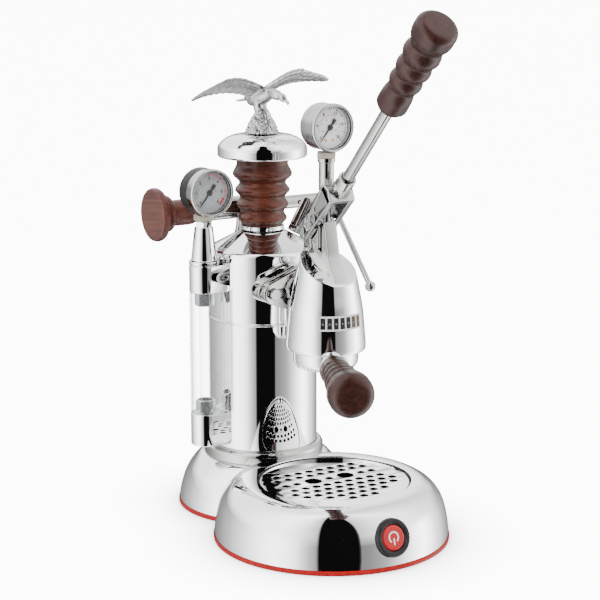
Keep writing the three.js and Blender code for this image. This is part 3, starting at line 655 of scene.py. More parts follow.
def wing_ring(side, reach):
    """One chordwise ring of a wing at a reach of 0 (root) to 1 (tip); its rear edge steps at each feather."""
    lead = -9 - 3.4 * math.sin(math.pi * min(1, reach * 1.35)) + 2.4 * max(0, reach - 0.55) / 0.45
    lead += 1.8 * (reach > 0.58)
    trail = 9.5 + 3 * math.sin(math.pi * reach) - 5 * max(0, reach - 0.6) / 0.4
    trail -= 1.6 * ((reach * FEATHERS) % 1.0) * (0.15 < reach < 0.9)
    lift = 364.6 + 2.4 * reach + 9.2 * math.sin(math.pi * reach)
    pitch = math.radians(44 - 8 * reach)
    tip = math.sqrt(max(0.02, 1 - max(0, (reach - 0.86) / 0.14) ** 2))
    centre, half = (lead + trail) / 2, (trail - lead) / 2 * tip
    thick = 1.5 - 0.8 * reach
    ring = []
    for step in range(24):
        angle = 2 * math.pi * step / 24
        chord = centre + half * math.cos(angle)
        up = thick * math.sin(angle) + 0.35 * math.sin(chord * 1.3) * (1 - reach)
        ring.append(Vector((
            side * (WING_SPAN * reach + 0.5), chord * math.cos(pitch) + up * math.sin(pitch),
            lift - chord * math.sin(pitch) + up * math.cos(pitch) - WING_ROOT,
        )))
    return ring


def wing(bm, side):
    """One wing as stacked rings from root to tip."""
    shell_loft(bm, [wing_ring(side, k / WING_STATIONS) for k in range(WING_STATIONS + 1)])


def rough_eagle():
    """The eagle and its rock as overlapping solids, before they are cast in one."""
    bm = bmesh.new()
    for side in (-1, 1):
        wing(bm, side)
    bank = Matrix.Translation((0, 0, WING_ROOT)) @ Matrix.Rotation(math.radians(-4.4), 4, "Y")
    bmesh.ops.transform(bm, matrix=bank, verts=bm.verts)
    ahead = Matrix.Rotation(HEADING, 3, "Z")
    for size, at, tilt in LUMPS:
        blob(bm, size, ahead @ Vector(at), math.radians(tilt))
    for side in (-2.6, 2.6):
        foot, hip = ahead @ Vector((side, -1, 347)), ahead @ Vector((side * 0.8, 4, 359))
        pipe(bm, [foot, foot.lerp(hip, 0.5) + Vector((0, -1.2, 0)), hip], 2.7, 12)
    half_tail = [(3, 10), (5.6, 28.5), (3.6, 28), (2, 29.2)]
    tail = [*half_tail, (0, 28.2), *[(-x, y) for x, y in reversed(half_tail)]]
    dip = raised(ahead.to_4x4(), 361.5) @ Matrix.Rotation(math.radians(-13), 4, "X")
    plate(bm, [tail], 2.2, dip, 0.7)
    rock = [(13.6, EAGLE_FOOT), (13.9, 332.2), (12.9, 334.6), (11.8, 338), (9.2, 342), (7.4, 346),
            (5.2, 350.5), (0, 353)]
    lathe(bm, [(0, EAGLE_FOOT), *flow(rock)], Matrix(), SMALL)
    return solid_object(bm, "eagle")


def eagle():
    """The rough eagle melted into one casting, with lumps on its rock and fine quills on its feathers."""
    piece = rough_eagle()
    skin = piece.modifiers.new("skin", "REMESH")
    skin.mode = "VOXEL"
    skin.voxel_size = 0.55
    ease = piece.modifiers.new("ease", "SMOOTH")
    ease.factor = 0.5
    ease.iterations = 6
    cast = bmesh.new()
    cast.from_mesh(finished_mesh(piece))
    bpy.data.objects.remove(piece)
    for vert in cast.verts:
        reach = abs(vert.co.x)
        stony = max(0.0, min(1.0, (ROCK_TOP - vert.co.z) / 6))
        lump = noise.noise(vert.co * 0.36) + 0.6 * noise.noise(vert.co * 0.8)
        vert.co += vert.normal * lump * 1.7 * stony * min(1, (vert.co.z - EAGLE_FOOT) / 2)
        quill = math.sin(vert.co.x * 1.1 + vert.co.y * 0.9) * 0.07 * min(1, reach / 14) * (1 - stony)
        vert.co += vert.normal * quill
        vert.co.z = max(vert.co.z, EAGLE_FOOT)
    bmesh.ops.transform(cast, matrix=ON_BOILER, verts=cast.verts)
    make(cast, "eagle_finial", EAGLE, crease=80)


# ---------------------------------------------------------------- sight glass
SIGHT_BLOCK_R = 13.1


def channel(radius, clear_of, wall=None):
    """The outline of a block round the sight tube, hollowed to sit against the boiler; or only its wall."""
    outer = arc(SIGHT.x, SIGHT.y, radius, 90, 270, 48)
    near_y = [SIGHT.y - radius, SIGHT.y + radius]
    touch = [(-math.sqrt(clear_of ** 2 - (y - BOILER.y) ** 2), y) for y in near_y]
    if wall is None:
        start = math.degrees(math.atan2(touch[0][1] - BOILER.y, touch[0][0])) % 360
        end = math.degrees(math.atan2(touch[1][1] - BOILER.y, touch[1][0])) % 360
        return outer + arc(BOILER.x, BOILER.y, clear_of, start, end, 16)
    inner = arc(SIGHT.x, SIGHT.y, radius - wall, 270, 90, 48)
    inner_y = [SIGHT.y - radius + wall, SIGHT.y + radius - wall]
    lip = [(-math.sqrt(clear_of ** 2 - (y - BOILER.y) ** 2), y) for y in inner_y]
    return [*outer, touch[0], lip[0], *inner, lip[1], touch[1]]


def standing(node, finish, outline, bevel=0.3, edge_steps=3):
    """An upright piece of one outline, as tall as its CAD node."""
    low, high = corners(node)
    flat(node, finish, [outline], high.z - low.z, raised(Matrix(), low.z), bevel, edge_steps)


def sight_glass():
    for node in ("sight_block_lower", "sight_block_upper"):
        standing(node, CHROME, channel(SIGHT_BLOCK_R, 47.95), 1.1, 5)
    standing("sight_cover", PERSPEX, channel(SIGHT_BLOCK_R, 48.75, 1.2), 0.25)
    for node in ("sight_nut_lower", "sight_nut_upper"):
        low, high = corners(node)
        bm = bmesh.new()
        hexagon(bm, 8.6, 6.2, high.z - low.z, raised(ON_SIGHT, low.z), start=math.radians(30))
        make(bm, node, CHROME)
    low, high = corners("sight_tube")
    turned("sight_tube", GLASS, bar(4.85, low.z, high.z, 3.6), ON_SIGHT, SMALL, 0.3)


def hexagon(bm, reach, bore, height, place, chamfer=0.7, start=0.0):
    """A six-sided nut: corner radius, bore radius and height, with turned-down corners."""
    count = 72
    turns = [2 * math.pi * k / count for k in range(count)]
    face = reach * math.cos(math.pi / 6)
    end = reach - chamfer * 1.6
    rings = []
    for limit, z in ((end, 0), (reach, chamfer), (reach, height - chamfer), (end, height)):
        flats = [min(limit, face / math.cos(turn % (math.pi / 3) - math.pi / 6)) for turn in turns]
        rings.append([spot(place, radius, turn + start, z) for radius, turn in zip(flats, turns)])
    if bore:
        rings += [[spot(place, bore, turn + start, z) for turn in turns] for z in (height, 0)]
    shell_loft(bm, rings, closed=bool(bore))


# ---------------------------------------------------------------- dial gauges
DIAL_DEPTH = 7.2
NEEDLE_REST = math.radians(-38)
# the ends of a gauge's scale in degrees, and how proud of the dial its print lies
SCALE = (-45, 225)
TICK_LIFT = 0.05
FIGURE_LIFT = 0.06
# material slots of a dial's prints
INK, RED_INK, PALE_INK, GOLD_INK = 1, 2, 3, 4


def figures(bm, place, texts, radius, first, step, size, mat):
    """Generic numbers laid flat on a dial, clockwise from the first angle in degrees."""
    for k, text in enumerate(texts):
        curve = bpy.data.curves.new("figure", "FONT")
        curve.body = str(text)
        curve.size = size
        curve.offset = size * 0.03
        curve.align_x = "CENTER"
        curve.align_y = "CENTER"
        piece = add_object("figure", curve)
        mesh = finished_mesh(piece)
        centre = spot(Matrix(), radius, math.radians(first - step * k), FIGURE_LIFT)
        points = [bm.verts.new(place @ (v.co + centre)) for v in mesh.vertices]
        for polygon in mesh.polygons:
            bm.faces.new([points[i] for i in polygon.vertices]).material_index = mat
        bpy.data.objects.remove(piece)


def ticks(bm, place, inner, outer, width, gaps, mat):
    """Marks round a dial's scale, which they divide into equal gaps."""
    first, last = SCALE
    for degrees in (first + (last - first) * k / gaps for k in range(gaps + 1)):
        a = math.radians(degrees)
        radial, across = Vector((math.cos(a), math.sin(a), 0)), Vector((-math.sin(a), math.cos(a), 0))
        square = ((inner, -width), (outer, -width), (outer, width), (inner, width))
        lifted = raised(place, TICK_LIFT)
        mark = [bm.verts.new(lifted @ (radial * r + across * w)) for r, w in square]
        bm.faces.new(mark).material_index = mat


def band(bm, place, inner, outer, start, end, mat, height):
    """A flat arc on a dial, from one angle to another in degrees."""
    count = 48
    for k in range(count):
        a, b = (math.radians(start + (end - start) * j / count) for j in (k, k + 1))
        stretch = ((inner, a), (outer, a), (outer, b), (inner, b))
        bm.faces.new([bm.verts.new(spot(place, r, t, height)) for r, t in stretch]).material_index = mat


def needle(length, tail):
    """The outline of a needle: a long point one way and a broad tail the other."""
    right = [(0.25, -length), (0.9, 0), (0.8, tail * 0.4), (1.5, tail * 0.55), (1.5, tail)]
    return right + [(-x, y) for x, y in reversed(right)]


def gauge(prefix, reach, depth, split, dial_finish, draw):
    """A gauge of this radius and depth; a split one has a black cup behind a bright bezel."""
    centre = middle(f"{prefix}_bezel")
    place = facing_front(centre.x, corners(f"{prefix}_bezel")[0].y, centre.z)
    wall = reach - 0.8
    cup = -11.5 if split else -4.3
    turned(f"{prefix}_case", BLACK if split else SATIN, [
        (0, -depth), (wall - 1, -depth), (wall, 1 - depth), (wall, cup), (wall - 1.6, cup),
        (wall - 1.6, 1.5 - depth), (0, 1.5 - depth),
    ], place, FINE, 1.0)
    skirt = [(wall - 1.4, cup + 0.3), (wall + 0.2, cup + 0.3), (wall + 0.2, -4.1)] if split else []
    rim = reach - 2.6
    bm = bmesh.new()
    lathe(bm, ring_profile([
        (rim, -4), *skirt, (reach - 0.05, -4), (reach - 0.05, -1.2), (reach - 0.9, -0.05), (reach - 2, -0.05),
        (rim, -0.7),
    ], 0.5), place, FINE)
    # painted shade: a thin black ring inside the bezel's rim stands for the dark shadow line at the bezel's
    # inner edge
    lathe(bm, ring_profile([(rim - 0.5, -2.4), (rim, -2.4), (rim, -1), (rim - 0.3, -1)], 0.1), place, FINE, 1)
    make(bm, f"{prefix}_bezel", FORGED if split else SATIN, BLACK)
    bm = bmesh.new()
    disc = bar(wall - 1.9, -8, -DIAL_DEPTH, 1.15)
    lathe(bm, [*disc, disc[0]], place, FINE)
    draw(bm, raised(place, -DIAL_DEPTH))
    make(bm, f"{prefix}_dial", dial_finish, BLACK_PAINT, RED_PAINT, PINK_PAINT, GOLD_PAINT)
    lens = [(0, -3.8), (reach - 2.95, -3.8), (reach - 2.95, -2.6), (0, -2.5)]
    turned(f"{prefix}_lens", GLASS, lens, place, FINE, 0.2)
    bm = bmesh.new()
    swing = raised(place @ Matrix.Rotation(NEEDLE_REST, 4, "Z"), -6.3)
    plate(bm, [needle(reach - 5.2, 8.2)], 0.5, swing, 0.1)
    hub = [(0, -9), (0.75, -9), (0.75, -6.4), (2.5, -6.4), (2.5, -5.3), (1.7, -5.0), (0, -5.0)]
    lathe(bm, soften(hub, 0.2), place, SMALL)
    make(bm, f"{prefix}_needle", BLACK_PAINT)


def draw_boiler_dial(bm, place):
    ticks(bm, place, 15.2, 16.2, 0.2, 30, INK)
    ticks(bm, place, 13.8, 16.2, 0.34, 6, INK)
    band(bm, place, 14.7, 15.5, -38, 92, PALE_INK, 0.07)
    band(bm, place, 13.6, 15.4, -45, -22, RED_INK, 0.08)
    figures(bm, place, range(7), 11.8, 225, 45, 3.8, INK)


def draw_group_dial(bm, place):
    ticks(bm, place, 14.9, 16.4, 0.2, 40, INK)
    ticks(bm, place, 14.0, 16.4, 0.36, 10, INK)
    ticks(bm, place, 9.0, 10.4, 0.3, 20, PALE_INK)
    figures(bm, place, range(0, 24, 4), 11.9, 225, 54, 3.4, INK)
    figures(bm, place, range(6), 7, 205, 46, 3, PALE_INK)
    for x in (-3.4, 3.4):
        band(bm, place @ Matrix.Translation((x, -10.6, 0)), 0, 1.2, 0, 360, GOLD_INK, 0.06)


def gauges():
    gauge("boiler_gauge", 20.5, 25.5, True, GREY_DIAL, draw_boiler_dial)
    gauge("group_gauge", 20, 22.7, False, WHITE_DIAL, draw_group_dial)
    nut_foot = 254.6
    bm = bmesh.new()
    lathe(bm, ring_profile([
        (4, 222.3), (SIGHT_BLOCK_R, 222.3), (SIGHT_BLOCK_R, 225.2), (11.2, 226.4), (7.9, nut_foot),
        (4, nut_foot),
    ], 0.6), ON_SIGHT)
    hexagon(bm, 7.8, 4, corners("gauge_riser")[1].z - nut_foot, raised(ON_SIGHT, nut_foot), 0.5)
    make(bm, "gauge_riser", CHROME)
    for node, half, turn in (("boiler_gauge_adapter", 6.3, 0), ("group_gauge_adapter", 7.35, -35)):
        low, high = corners(node)
        place = raised(upright(middle(node)), low.z) @ Matrix.Rotation(math.radians(turn), 4, "Z")
        square = [(-half, -half), (half, -half), (half, half), (-half, half)]
        flat(node, NICKEL, [square], high.z - low.z, place, 0.5)


# ---------------------------------------------------------------- steam tap and safety valve
STEAM_LINE = Vector((0, VALVE.y, VALVE.z))
ON_STEAM_LINE = along(RIGHT, STEAM_LINE)
SPINDLE_R = 2.9
WAND_X = 92.5
WAND_R = 2.6
WAND_DIP = math.radians(46.5)


def steam_valve():
    """The cross pipe with its gland nut and its foot on the boiler, and a small black plug in its side."""
    pipe_outline = [(0, -40), (9, -40), (10, -38.5), (10, 20), (8, 22), (6, 23), (6, 85.6), (0, 85.6)]
    foot = flow([(7.4, 238), (6.2, 243), (5.6, 250), (6, 254)])
    plug = [(0, 0), (2.1, 0), (2.1, 1.2), (0.9, 1.3), (0.8, 0.5), (0, 0.5)]
    on_plug = along(FORWARD, STEAM_LINE + Vector((56, -5.2, 0)))
    bm = bmesh.new()
    lathe(bm, soften(pipe_outline, 0.8), ON_STEAM_LINE)
    lathe(bm, bar(SPINDLE_R, 84, 96.9), ON_STEAM_LINE, SMALL)
    hexagon(bm, 8.4, 3.2, 8, raised(ON_STEAM_LINE, -47), 0.7)
    lathe(bm, [(0, 238), *foot, (0, 258)], upright(STEAM_LINE), SMALL)
    lathe(bm, soften(plug, 0.2), on_plug, SMALL, 1)
    make(bm, "steam_valve_body", FORGED, BLACK)


def steam_tap():
    low, high = corners("steam_spindle")
    turned("steam_spindle", STEEL, bar(SPINDLE_R, low.x, high.x), ON_STEAM_LINE, SMALL)
    on_knob = raised(ON_STEAM_LINE, corners("steam_knob")[0].x)
    knob = flow([
        (21.4, 0.1), (22.8, 1.1), (23.4, 4), (22.5, 6.8), (19.4, 8.8), (13.6, 9.9), (13.8, 11.2),
        (15.6, 13.2), (15.6, 15.2), (13.2, 17.8), (11.3, 19.6), (11.4, 23), (11.3, 36), (9.4, 40.4),
        (3.2, 41.1),
    ])
    bm = bmesh.new()
    lathe(bm, [(0, 0.4), (16, 0.1), *knob, (3.2, 29), (0, 29)], on_knob, FINE)
    make(bm, "steam_knob", wood("knob_wood", KNOB_TONES, (0, 1, -0.15)), crease=50)


def steam_wand():
    way = Vector((0, -math.cos(WAND_DIP), -math.sin(WAND_DIP)))
    on_wand = along(way, STEAM_LINE + Vector((WAND_X, 0, 0)))
    swivel = [(0, 86), (5.6, 86), (6.8, 88), (6.8, 97), (5, 99), (0, 99.4)]
    tip = flow([(WAND_R, 92.8), (3.4, 94), (4.7, 96), (4.7, 98.8), (3.2, 101), (1.6, 102), (0, 102.3)])
    bm = bmesh.new()
    lathe(bm, soften(swivel, 0.8), ON_STEAM_LINE)
    lathe(bm, bar(WAND_R, 0, 95), on_wand, SMALL)
    lathe(bm, [(0, 92.6), *tip], on_wand, SMALL)
    make(bm, "steam_wand", FORGED)


def safety_valve():
    """A capped cylinder that leans out square to the boiler's shoulder."""
    place = along((0.503, 0, 0.864), Vector((BOILER.x + 32, BOILER.y, 239.7)))
    bm = bmesh.new()
    hexagon(bm, 7.7, 0, 5, raised(place, 0.9), 0.7)
    lathe(bm, soften([(0, 5), (6.8, 5), (6.8, 30), (6.5, 32.4), (5.2, 34), (0, 34.2)], 0.6), place)
    make(bm, "safety_valve", FORGED)


# ---------------------------------------------------------------- group
FLANGE_Z = 204.2
BOLT_X = 31.5
FLANGE_THICK = 12.7
ON_NECK = along(FORWARD, Vector((0, BOILER.y, FLANGE_Z)))
TOWER_THICK = 11.6
TOWER_TOP = 268.4
# the bell is cut off by a plane that falls towards the front
BELL_FALL = 0.549
BELL_CUT = Vector((0, FULCRUM.y - 2, 241))
STRIP_START = -41.6
STRIP_END = 27.6
CELLS = 7
WARM_FROM = 5


def facing_right(x):
    """Local x and y become Y and Z, and a plate grows from this X to the right."""
    return Matrix.Translation((x, 0, 0)) @ Matrix(((0, 0, 1), (1, 0, 0), (0, 1, 0))).to_4x4()


def flange_loops(shrink=0.0):
    """The outline of a flange with two ears, and its two bolt holes."""
    outline = belt([(x, FLANGE_Z, r - shrink) for x, r in ((0, 20), (-BOLT_X, 9), (BOLT_X, 9))])
    return [outline] + [circle(x, FLANGE_Z, 3.3, 24)[::-1] for x in (-BOLT_X, BOLT_X)]


def group_joint():
    back = corners("group_mount")[0].y + FLANGE_THICK
    bm = bmesh.new()
    plate(bm, flange_loops(), FLANGE_THICK, facing_front(0, back, 0), 0.8, steps=4)
    lathe(bm, bar(16.9, 47.7, 52), ON_NECK)
    make(bm, "group_mount", FORGED)
    low, high = corners("group_gasket")
    flat("group_gasket", SEAL, flange_loops(0.6), high.y - low.y, facing_front(0, high.y, 0), 0.2)
    for node in ("group_bolt_left", "group_bolt_right"):
        centre = middle(node)
        head = along(FORWARD, Vector((centre.x, corners(node)[0].y + 4, centre.z)))
        bm = bmesh.new()
        hexagon(bm, 5.35, 0, 3.95, head, 0.6, start=math.radians(20))
        lathe(bm, bar(3, -16, 1), head, SMALL)
        lathe(bm, soften([(0, 3.6), (2.2, 3.6), (1.9, 3.97), (0, 3.97)], 0.2), head, SMALL)
        make(bm, node, STEEL)


def bell(bm):
    """The bell, hollow below for the sleeve, its sloping top cut flat with a rounded rim."""
    wall = flow([(20.3, 250), (22.3, 236.4), (25, 226), (28, 211), (31, 194.5), (33, 172), (33.5, 166),
                 (33.3, 162.4), (32.4, 160.6), (30.5, 160.3)])
    hollow = [(28.6, 160.3), (28.6, 168), (24.6, 168), (24.6, 205), (0, 205)]
    lathe(bm, [(0, 250), *wall, *hollow], ON_GROUP, 224)
    slope = Vector((0, -BELL_FALL, 1)).normalized()
    bmesh.ops.bisect_plane(bm, geom=[*bm.verts, *bm.edges, *bm.faces], plane_co=BELL_CUT, plane_no=slope,
                           clear_outer=True)
    edges = [edge for edge in bm.edges if edge.is_boundary]
    lid = bmesh.ops.edgeloop_fill(bm, edges=edges)["faces"]
    rim = [edge for face in lid for edge in face.edges]
    bmesh.ops.bevel(bm, geom=rim, offset=0.9, segments=4, affect="EDGES", profile=0.5)


def tower_outline():
    """The flat tower seen from the side, its top slot open for the piston rod."""
    front = [(-6.6, TOWER_TOP), (-9.2, 256), (-11.8, 243), (-13.4, 236), (-16, 230.5), (-20.6, 226),
             (-24, 219), (-16, 206)]
    behind = [(20, 206), (27, 236), (25.6, 257), (23.4, 263.4), (18, 266.6), (7, TOWER_TOP)]
    slot = [(4.1, TOWER_TOP), *arc(0, 244.1, 4.1, 0, -180, 20), (-4.1, TOWER_TOP)]
    return [(GROUP.y + y, z) for y, z in front + behind + slot]


def group_body():
    bm = bmesh.new()
    bell(bm)
    bore = circle(FULCRUM.y, FULCRUM.z, 2.3, 28)
    plate(bm, [tower_outline(), bore], TOWER_THICK, facing_right(-TOWER_THICK / 2), 0.7, mat=1, steps=4)
    web(bm)
    plate(bm, flange_loops(), 7.7, facing_front(0, BOILER.y - 64.3, 0), 0.8, mat=1, steps=4)
    lathe(bm, [(0, 68), (16.4, 68), (16, 76), (15.4, 92), (0, 92)], ON_NECK, mat=1)
    make(bm, "group_body", CHROME, FORGED)


def web(bm):
    """The flare where the tower grows out of the bell's sloping top."""
    rings = []
    for k in range(9):
        t = k / 8
        wide = 5.7 + 6.5 * (1 - t) ** 2.4
        rise = 13 * t
        ring = []
        for y, z in arc(0, 0, 1, 0, 360, 40)[:-1]:
            depth = GROUP.y + 2 + y * (15.5 + 5 * (1 - t) ** 2)
            side = wide * math.copysign(abs(z) ** 0.6, z)
            ring.append(Vector((side, depth, BELL_CUT.z - 2.5 + BELL_FALL * (depth - BELL_CUT.y) + rise)))
        rings.append(ring)
    shell_loft(bm, rings, 1)


def pins():
    for node, centre in (("fulcrum_pin", FULCRUM), ("piston_pin", PISTON_PIN)):
        turned(node, STEEL, [
            (0, -13.6), (3.4, -13.6), (3.4, -12.5), (2, -12.5), (2, 12.5), (3.4, 12.5), (3.4, 13.6),
            (0, 13.6),
        ], along(RIGHT, centre), SMALL, 0.4)
    rod = [(0, 190), (7, 190), (7, 193), (3.9, 193), (3.9, 303), (0, 303)]
    turned("piston_rod", STEEL, rod, ON_GROUP, SMALL, 0.5)
    turned("gauge_stem", FORGED, [
        (4.2, 303.3), (4.2, 294), (6.3, 294), (6.3, 316.8), (7.4, 317.4), (7.4, 320.6), (0, 320.6),
        (0, 303.3),
    ], ON_GROUP, MEDIUM, 0.3)


def on_bell(degrees, z, proud):
    """A point just proud of the bell's wall, by the angle from its front."""
    radius = 33 - 2 * (z - 172) / 22.5 + proud
    angle = math.radians(degrees)
    return Vector((GROUP.x + radius * math.sin(angle), GROUP.y - radius * math.cos(angle), z))


def patch(bm, start, end, z0, z1, under, proud, mat):
    """A thin curved patch on the bell, from one depth to another."""
    across = max(2, int(abs(end - start)))
    angles = [start + (end - start) * k / across for k in range(across + 1)]
    edge = [(angle, z0) for angle in angles] + [(angle, z1) for angle in reversed(angles)]
    outer, inner = ([bm.verts.new(on_bell(angle, z, level)) for angle, z in edge] for level in (proud, under))
    faces = [(outer[k - 1], outer[k], inner[k], inner[k - 1]) for k in range(len(edge))]
    for ring in (outer, inner):
        faces += [(ring[k], ring[k + 1], ring[-k - 2], ring[-k - 1]) for k in range(across)]
    for face in faces:
        bm.faces.new(face).material_index = mat


def thermometer():
    """A silver film on the bell with seven dark cells, each with a small grey mark."""
    low, high = corners("thermometer_strip")
    bm = bmesh.new()
    patch(bm, STRIP_START, STRIP_END, low.z + 0.1, high.z - 0.1, 0.32, 0.6, 0)
    pitch = (STRIP_END - STRIP_START) / CELLS
    for cell in range(CELLS):
        a = STRIP_START + pitch * cell
        tint = 2 if cell >= WARM_FROM else 1
        patch(bm, a + pitch * 0.13, a + pitch * 0.87, low.z + 1.5, high.z - 1.5, 0.55, 0.68, tint)
        patch(bm, a + pitch * 0.38, a + pitch * 0.62, low.z + 5.2, low.z + 6.6, 0.66, 0.74, 3)
    film = dielectric("silver_film", (0.62, 0.63, 0.63), (0.74, 0.75, 0.75), 0.25, 0.4, 300, 0.03)
    cells = dielectric("dark_cells", (0.01, 0.01, 0.012), (0.03, 0.03, 0.03), 0.2, 0.35, 400, 0.02)
    warm = dielectric("warm_cells", (0.05, 0.035, 0.022), (0.1, 0.07, 0.045), 0.2, 0.35, 400, 0.02)
    marks = dielectric("grey_marks", (0.14, 0.14, 0.14), (0.2, 0.2, 0.2), 0.3, 0.5, 400, 0.02)
    make(bm, "thermometer_strip", film, cells, warm, marks)


# ---------------------------------------------------------------- lever and portafilter
LEVER_RISE = math.radians(46.6)
LEVER_WAY = Vector((0, -math.cos(LEVER_RISE), math.sin(LEVER_RISE)))
LEVER_UP = Vector((0, math.sin(LEVER_RISE), math.cos(LEVER_RISE)))
ON_LEVER = along(LEVER_WAY, FULCRUM - LEVER_UP * 2)
CHEEK_INSIDE = 7
CHEEK_OUTSIDE = 12.2
POCKET_FLOOR = 11.2
HANDLE_TURN = math.radians(22.9)
HANDLE_WAY = Vector((-math.sin(HANDLE_TURN), -math.cos(HANDLE_TURN), 0))
ON_HANDLE = along(HANDLE_WAY, Vector((GROUP.x, GROUP.y, 152.6)))


def slab(bm, loops, x0, x1, bevel, mat=0):
    """A plate between two X planes, its outline drawn along the lever and across it."""
    turn = Matrix((LEVER_WAY, LEVER_UP, LEVER_WAY.cross(LEVER_UP))).transposed().to_4x4()
    place = Matrix.Translation((max(x0, x1), FULCRUM.y, FULCRUM.z)) @ turn
    plate(bm, loops, abs(x1 - x0), place, bevel, mat, 4)


def lever_fork():
    """Two cheeks, each with a sunk pocket and a slot for the piston pin, and the crown that holds the rod."""
    bm = bmesh.new()
    arm = belt([(0, 0, 7.3), (51.5, 6.4, 1), (49.5, -9, 1)], 120)
    reach = math.atan2(PISTON_PIN.z - FULCRUM.z, FULCRUM.y - PISTON_PIN.y) - LEVER_RISE
    ends = [(r * math.cos(reach), r * math.sin(reach), 2.95) for r in (16.6, 21.8)]
    slot = belt(ends, 48)[::-1]
    bore = circle(0, 0, 2.1, 32)[::-1]
    pocket = belt([(29, -0.6, 3.4), (46, 3.6, 1.6), (45, -6, 1.6)], 72)[::-1]
    for side in (-1, 1):
        slab(bm, [arm, slot, bore], side * CHEEK_INSIDE, side * POCKET_FLOOR, 0.4, 1)
        slab(bm, [arm, slot, bore, pocket], side * (POCKET_FLOOR - 0.05), side * CHEEK_OUTSIDE, 0.4)
    crown = belt([(48, 6, 1), (52.5, 5, 1), (54, -1, 1), (50.5, -9, 1), (46.5, -8.5, 1)], 96)
    slab(bm, [crown], -CHEEK_OUTSIDE, CHEEK_OUTSIDE, 1.2)
    hexagon(bm, 8.2, 5.3, 12, raised(ON_LEVER, 50), 0.8)
    lathe(bm, ring_profile(bar(7.4, 55, 70, 5.3), 0.6), ON_LEVER)
    make(bm, "lever_fork", FORGED, STEEL)
    turned("lever_rod", FORGED, bar(5, 56.5, 225), ON_LEVER, MEDIUM, 0.4)


def lever_grip():
    outline = waves([
        (10.4, 155.5), (12.9, 160), (12.7, 168), (11, 179), (13.5, 186.2), (11.6, 193.2), (14.3, 200.8),
        (12.4, 208.3), (15.4, 216.4), (13.2, 225), (17.1, 236), (17.1, 240),
    ], 0.62)
    outline += arc(11.1, 242.2, 6, 0, 90, 10)
    bored_grip("lever_grip", "lever_wood", LEVER_WAY, ON_LEVER, outline, 225.5)


def bored_grip(node, wood_name, way, place, outline, depth):
    """A wooden grip bored up to a depth for the rod it sits on."""
    bm = bmesh.new()
    bore = [(0, depth), (5.3, depth), (5.3, outline[0][1])]
    lathe(bm, [*bore, *outline, (0, outline[-1][1] + 0.3)], place, FINE)
    make(bm, node, wood(wood_name, WOOD_TONES, way), crease=50)


def portafilter():
    arm = flow([(8.4, 25.9), (7.3, 29), (6.2, 33), (5.1, 38)])
    bm = bmesh.new()
    lathe(bm, soften([
        (3.5, 147.2), (3.5, 144.5), (20.5, 144.5), (24.5, 146), (27, 149.5), (27.4, 153), (27.4, 165.5),
        (25.8, 165.5), (25.8, 149.4), (23.4, 147.2), (3.5, 147.2),
    ], 0.8), ON_GROUP, FINE)
    lathe(bm, [(0, 25.9), *arm, (5, 100), (0, 100)], ON_HANDLE)
    make(bm, "portafilter_body", CHROME, crease=40)
    turned("filter_basket", STEEL, [
        (0, 148.2), (23.8, 148.2), (25.3, 150), (25.3, 165.8), (27.2, 165.8), (27.2, 166.5), (24.7, 166.5),
        (24.7, 150.3), (23.4, 148.9), (0, 148.9),
    ], ON_GROUP, FINE, 0.3)
    turned("portafilter_ferrule", CHROME, [
        (5.3, 41.7), (5.3, 38.3), (8.4, 36.5), (11.2, 38.4), (11.7, 40), (11.7, 41.7),
    ], ON_HANDLE, MEDIUM, 0.5)
    outline = waves([
        (11.7, 42), (12.7, 46), (12.4, 54), (10.8, 60.6), (13.2, 66.8), (11.2, 73.6), (14.4, 80.4),
        (12.4, 87.6), (15.6, 95), (13.4, 102.7), (18.5, 115), (18.5, 119),
    ], 0.62)
    outline += arc(8.9, 120.6, 9.6, 0, 90, 12)
    bored_grip("portafilter_handle", "handle_wood", HANDLE_WAY, ON_HANDLE, outline, 100.5)


# ---------------------------------------------------------------- inner parts
def inner_parts():
    """Hidden CAD pieces keep their own meshes and only get a finish; the screen and gland are made again."""
    for node, finish in (
        ("heating_element", STEEL), ("cylinder_sleeve", STEEL), ("piston", NICKEL), ("base_plate", STEEL),
    ):
        mesh = frame["nodes"][node].data
        mesh.materials.clear()
        mesh.materials.append(finish)
    turned("shower_screen", STEEL, [
        (0, 164.2), (24.2, 164.2), (24.2, 167.7), (23.2, 167.7), (23.2, 165.2), (0, 165.2),
    ], ON_GROUP, MEDIUM, 0.3)
    centre = middle("cord_gland")
    on_gland = along((0, 1, 0), Vector((centre.x, corners("cord_gland")[0].y, centre.z)))
    gland = [(3.5, 0), (7.4, 0), (7.4, 10.6), (6.2, 12.1), (3.5, 12.1)]
    turned("cord_gland", BLACK, gland, on_gland, SMALL, 0.5)


# ---------------------------------------------------------------- studio
CAMERA = Vector((-0.7807, -1.2435, 0.5192))
TARGET = Vector((0.0383, 0.0965, 0.1781))
PEAK = 8.0
SOFT_LIGHT = 1.25
WHITE_OUT = 12.0
FLAG = 0.006
# (compass angle, brightness) round the tent, low down and high up; 0 degrees is behind the camera and the
# angle grows towards its right. The flag is the dark stretch in the middle.
LOW_TENT = (
    (-180, 0.2), (-160, 0.3), (-140, 0.5), (-120, 0.9), (-100, 1.8), (-80, 3.4), (-64, 5.0), (-56, 5.4),
    (-49, 4.8), (-42, 4.2), (-35, 3.2), (-29, 1.9), (-22, 1.0), (-15.5, 0.6), (-13.2, FLAG),
    (26.5, FLAG), (28, 0.34), (36, 0.4), (49, 0.6), (56, 0.8), (64, 1.4), (71, 2.1), (80, 3.4), (90, 5.2),
    (100, 6.4), (108, 5.0), (120, 2.6), (140, 1.0), (155, 0.5), (167, 0.3), (180, 0.2),
)
HIGH_TENT = (
    (-180, 3.0), (-140, 2.6), (-110, 2.8), (-80, 4.0), (-55, 4.5), (-35, 3.0), (-22, 1.7), (-15.5, 1.2),
    (-13.2, FLAG), (26.5, FLAG), (28, 1.2), (40, 1.8), (60, 2.6), (90, 3.4), (120, 2.4), (150, 1.6),
    (180, 3.0),
)


